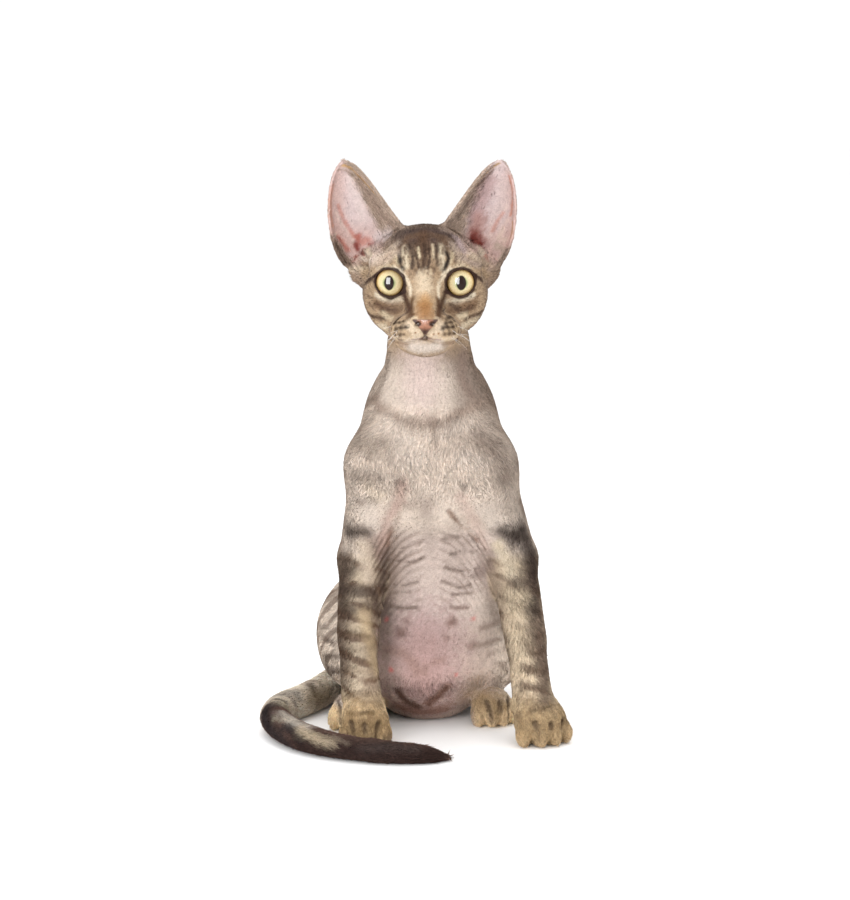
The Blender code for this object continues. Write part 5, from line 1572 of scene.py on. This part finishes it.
def grow_coat(body, cat):
    """Thin tapered tufts all over the skin, in pieces."""
    draw = np.random.default_rng(7)
    data = body.data
    data.calc_loop_triangles()
    corners = np.empty(len(data.loop_triangles) * 3, dtype=np.int32)
    data.loop_triangles.foreach_get("vertices", corners)
    corners = corners.reshape(-1, 3)
    places, facing = coordinates(data), normals(data)
    a, b, c = (places[corners[:, k]] for k in range(3))
    area = np.linalg.norm(np.cross(b - a, c - a), axis=1) / 2
    middle, outwards = (a + b + c) / 3, unit(facing[corners].mean(axis=1))
    wanted = coat_sizes(middle, outwards)[0] * area * 1e6
    under = np.linalg.norm(middle - eye_centre(1), axis=1) < EYE_RADIUS
    under |= np.linalg.norm(middle - eye_centre(-1), axis=1) < EYE_RADIUS
    wanted[under | (middle[:, 2] < 0.0006)] = 0.0
    counts = np.floor(wanted + draw.random(len(wanted))).astype(int)
    face = np.repeat(np.arange(len(wanted)), counts)
    r1, r2 = np.sqrt(draw.random(len(face))), draw.random(len(face))
    share = np.stack([1 - r1, r1 * (1 - r2), r1 * r2], axis=1)[:, :, None]
    root = (places[corners[face]] * share).sum(axis=1)
    out = unit((facing[corners[face]] * share).sum(axis=1))
    density, length, width, rise = coat_sizes(root, out)
    along = lie(root, out)
    swing = draw.normal(0.0, 0.17, len(root))
    across = np.cross(out, along)
    along = unit(along * np.cos(swing)[:, None] + across * np.sin(swing)[:, None])
    across = np.cross(out, along)
    length = length * draw.uniform(0.75, 1.25, len(root))
    width = width * draw.uniform(0.8, 1.25, len(root))
    rise = rise * draw.uniform(0.6, 1.3, len(root))
    bend = draw.normal(0.0, 0.12, len(root)) * length
    spread = 0.11 + 0.11 * ramp(root[:, 2], 0.205, 0.222)
    colour = painted(root + along * length[:, None] * 0.45, out)
    colour = colour * np.exp(draw.normal(0.0, 1.0, len(root)) * spread)[:, None]
    region = coat_region(root, cat)
    read = unwrapped(body)
    fur = material("coat_fur", 0.75, 0.05, 1500.0, 0.20)
    for number, (name, most) in enumerate(PIECES):
        chosen = np.flatnonzero(region == number)
        thinned = max(1.0, len(chosen) / most) ** (0.2 if name == "coat_head" else 0.8)
        if len(chosen) > most:
            chosen = np.sort(draw.permutation(chosen)[:most])
        p, t, n, s = root[chosen], along[chosen], out[chosen], across[chosen]
        long, wide, high = length[chosen, None], width[chosen, None] * thinned, rise[chosen, None]
        sink = 0.3 * wide + 0.00008
        tuft = np.stack([
            p - n * sink - s * wide * 0.5,
            p - n * sink + s * wide * 0.5,
            p + n * wide * 0.30 - t * long * 0.03,
            p + t * long * 0.50 + n * (high * 0.66 + wide * 0.20),
            p + t * long + n * high + s * bend[chosen, None],
        ], axis=1)
        tuft[:, :, 2] = np.maximum(tuft[:, :, 2], 0.0001 + 0.00002 * np.arange(5))
        faces = (TUFT_FACES[None] + 5 * np.arange(len(chosen))[:, None, None]).reshape(-1, 3)
        piece = quick_mesh(name, tuft.reshape(-1, 3), faces)
        shade = (colour[chosen][:, None, :] * TUFT_SHADE[None, :, None]).reshape(-1, 3)
        tinted(piece.data, np.clip(shade, 0.0, 1.0))
        layer = piece.data.uv_layers.new(name="OFBake")
        uv = (read(p)[:, None, :] + TUFT_UV[None]).reshape(-1, 2)[faces.ravel()]
        layer.data.foreach_set("uv", uv.astype(np.float32).ravel())
        piece.data.polygons.foreach_set("use_smooth", np.ones(len(faces), dtype=bool))
        piece.data.materials.append(fur)
        placed(piece, "coat")


def eye(side):
    """An eyeball with a slight cornea, its iris and pupil drawn round the line of sight."""
    rings, segments = 72, 96
    tilt = np.linspace(0.0, math.pi, rings + 1)
    turn = np.linspace(0.0, 2 * math.pi, segments, endpoint=False)
    bulge = EYE_RADIUS + 0.0005 * np.exp(-((tilt / 0.62) ** 2))
    grid_tilt, grid_turn = np.meshgrid(tilt[1:-1], turn, indexing="ij")
    radius = np.meshgrid(bulge[1:-1], turn, indexing="ij")[0]
    local = np.stack([radius * np.sin(grid_tilt) * np.cos(grid_turn), radius * np.sin(grid_tilt) * np.sin(grid_turn),
                      radius * np.cos(grid_tilt)], axis=-1).reshape(-1, 3)
    local = np.vstack([local, [[0, 0, bulge[0]], [0, 0, -bulge[-1]]]])
    top, bottom = len(local) - 2, len(local) - 1
    faces = []
    for ring in range(rings - 2):
        for k in range(segments):
            a, b = ring * segments + k, ring * segments + (k + 1) % segments
            faces += [(a, a + segments, b + segments), (a, b + segments, b)]
    for k in range(segments):
        following = (k + 1) % segments
        faces.append((top, k, following))
        last = (rings - 2) * segments
        faces.append((bottom, last + following, last + k))
    ahead = gaze(side)
    across = unit(np.cross((0.0, 0.0, 1.0), ahead)[None])[0]
    upright = np.cross(ahead, across)
    places = eye_centre(side) + local @ np.stack([across, upright, ahead])
    piece = quick_mesh("eyeball_left" if side == 1 else "eyeball_right", places, np.array(faces))
    layer = piece.data.attributes.new("iris_place", "FLOAT_VECTOR", "POINT")
    layer.data.foreach_set("vector", (local * 1000.0).astype(np.float32).ravel())
    piece.data.polygons.foreach_set("use_smooth", np.ones(len(piece.data.polygons), dtype=bool))
    piece.data.materials.append(EYE_MATERIAL)
    placed(piece, "eye", "eye_left" if side == 1 else "eye_right")


def whiskers():
    """Short, brittle whiskers on each side of the muzzle, each a tapered thread."""
    draw = np.random.default_rng(11)
    corners, faces = [], []
    steps, sides = 7, 4
    for side in (1, -1):
        for row in range(3):
            for k in range(3):
                root = np.array(head_place(side * (0.0105 + 0.0022 * k), -0.0880 + 0.0026 * k, 0.2292 - 0.0022 * row))
                way = np.array([side * draw.uniform(0.6, 1.0), -0.35 + 0.22 * k, draw.uniform(-0.75, 0.05)])
                way = way / np.linalg.norm(way)
                length = draw.uniform(0.007, 0.017)
                sag = np.array([0.0, 0.35, -1.0]) * length * draw.uniform(0.10, 0.30)
                first = len(corners)
                for step in range(steps + 1):
                    share = step / steps
                    centre = root + way * length * share + sag * share * share
                    thick = 0.00009 * (1.0 - 0.85 * share)
                    across = unit(np.cross(way, (0.0, 0.0, 1.0))[None])[0]
                    over = np.cross(across, way)
                    for turn in np.arange(sides) * 2 * math.pi / sides:
                        corners.append(centre + thick * (across * math.cos(turn) + over * math.sin(turn)))
                for step in range(steps):
                    low, high = first + step * sides, first + (step + 1) * sides
                    for turn in range(sides):
                        following = (turn + 1) % sides
                        faces += [(low + turn, low + following, high + following), (low + turn, high + following, high + turn)]
                last = first + steps * sides
                faces += [(first, first + 2, first + 1), (first, first + 3, first + 2)]
                faces += [(last, last + 1, last + 2), (last, last + 2, last + 3)]
    piece = quick_mesh("whiskers", np.array(corners), np.array(faces))
    tinted(piece.data, np.tile(srgb(236, 230, 224), (len(corners), 1)))
    piece.data.materials.append(material("whisker", 0.45, 0.30, 1500.0, 0.0))
    placed(piece, "coat")


def joined(nodes, links, kind, *values, **settings):
    """A node with its inputs linked or set in order, and its first output."""
    made = nodes.new(kind)
    for key, value in settings.items():
        setattr(made, key, value)
    for socket, value in zip(made.inputs, values):
        if isinstance(value, bpy.types.NodeSocket):
            links.new(value, socket)
        elif value is not None:
            socket.default_value = value
    return made.outputs[0]


def eye_material():
    """Pale yellow-green iris with fine rays, a dark upright pupil and a wet surface."""
    made = bpy.data.materials.new("iris")
    made.use_nodes = True
    nodes, links = made.node_tree.nodes, made.node_tree.links
    shader = nodes["Principled BSDF"]
    shader.inputs["Roughness"].default_value = 0.5
    shader.inputs["Specular IOR Level"].default_value = 0.0
    shader.inputs["Coat Weight"].default_value = 1.0
    shader.inputs["Coat Roughness"].default_value = 0.02
    shader.inputs["Coat IOR"].default_value = 1.28
    place = nodes.new("ShaderNodeAttribute")
    place.attribute_name = "iris_place"

    def mathed(operation, *values):
        return joined(nodes, links, "ShaderNodeMath", *values, operation=operation)

    split = nodes.new("ShaderNodeSeparateXYZ")
    links.new(place.outputs["Vector"], split.inputs[0])
    u, v = split.outputs["X"], split.outputs["Y"]
    radius = mathed("SQRT", mathed("ADD", mathed("MULTIPLY", u, u), mathed("MULTIPLY", v, v)))
    pupil_u, pupil_v = mathed("DIVIDE", u, 2.55), mathed("DIVIDE", v, 3.95)
    pupil = mathed("SQRT", mathed("ADD", mathed("MULTIPLY", pupil_u, pupil_u), mathed("MULTIPLY", pupil_v, pupil_v)))
    angle = mathed("ARCTAN2", u, v)
    ray_place = joined(nodes, links, "ShaderNodeCombineXYZ", mathed("MULTIPLY", angle, 9.0), mathed("MULTIPLY", radius, 0.55))
    rays = nodes.new("ShaderNodeTexNoise")
    rays.inputs["Scale"].default_value = 1.6
    rays.inputs["Detail"].default_value = 4.0
    links.new(ray_place, rays.inputs["Vector"])
    ring = nodes.new("ShaderNodeValToRGB")
    links.new(mathed("DIVIDE", radius, 10.0), ring.inputs[0])
    stops = ring.color_ramp
    stops.elements[0].position, stops.elements[0].color = 0.26, (*srgb(112, 124, 82), 1)
    stops.elements[1].position, stops.elements[1].color = 0.34, (*srgb(184, 180, 136), 1)
    rest = ((0.42, (208, 192, 152)), (0.58, (212, 190, 144)), (0.66, (190, 156, 100)), (0.715, (104, 74, 44)), (0.745, (38, 25, 21)))
    for position, colour in rest:
        stops.elements.new(position).color = (*srgb(*colour), 1)
    rayed = nodes.new("ShaderNodeMix")
    rayed.data_type, rayed.blend_type = "RGBA", "OVERLAY"
    rayed.inputs["Factor"].default_value = 0.55
    links.new(ring.outputs[0], rayed.inputs["A"])
    links.new(rays.outputs["Fac"], rayed.inputs["B"])
    edge = joined(nodes, links, "ShaderNodeMapRange", pupil, 0.93, 1.05, 0.0, 1.0)
    dark = nodes.new("ShaderNodeMix")
    dark.data_type = "RGBA"
    dark.inputs["A"].default_value = (*srgb(34, 20, 16), 1)
    links.new(edge, dark.inputs["Factor"])
    links.new(rayed.outputs["Result"], dark.inputs["B"])
    links.new(dark.outputs["Result"], shader.inputs["Base Color"])
    return made


studio()
SKIN = Skin()
BODY = make_skin(SKIN)
open_lids(BODY)
BODY.name = "skin"
tinted(BODY.data, painted(coordinates(BODY.data), normals(BODY.data)))
BODY.data.polygons.foreach_set("use_smooth", np.ones(len(BODY.data.polygons), dtype=bool))
BODY.data.materials.clear()
BODY.data.materials.append(material("skin_under_coat", 0.70, 0.06, 1500.0, 0.30))
BODY.data.materials.append(material("nose_leather", 0.42, 0.40, 2600.0, 0.60))
LEATHERY = nose_share(coordinates(BODY.data)) > 0.5
for FACE_OF_SKIN in BODY.data.polygons:
    FACE_OF_SKIN.material_index = int(all(LEATHERY[k] for k in FACE_OF_SKIN.vertices))
placed(BODY, "coat", *FLESH)
EYE_MATERIAL = eye_material()
for SIDE in (1, -1):
    eye(SIDE)
grow_coat(BODY, SKIN.cat)
whiskers()
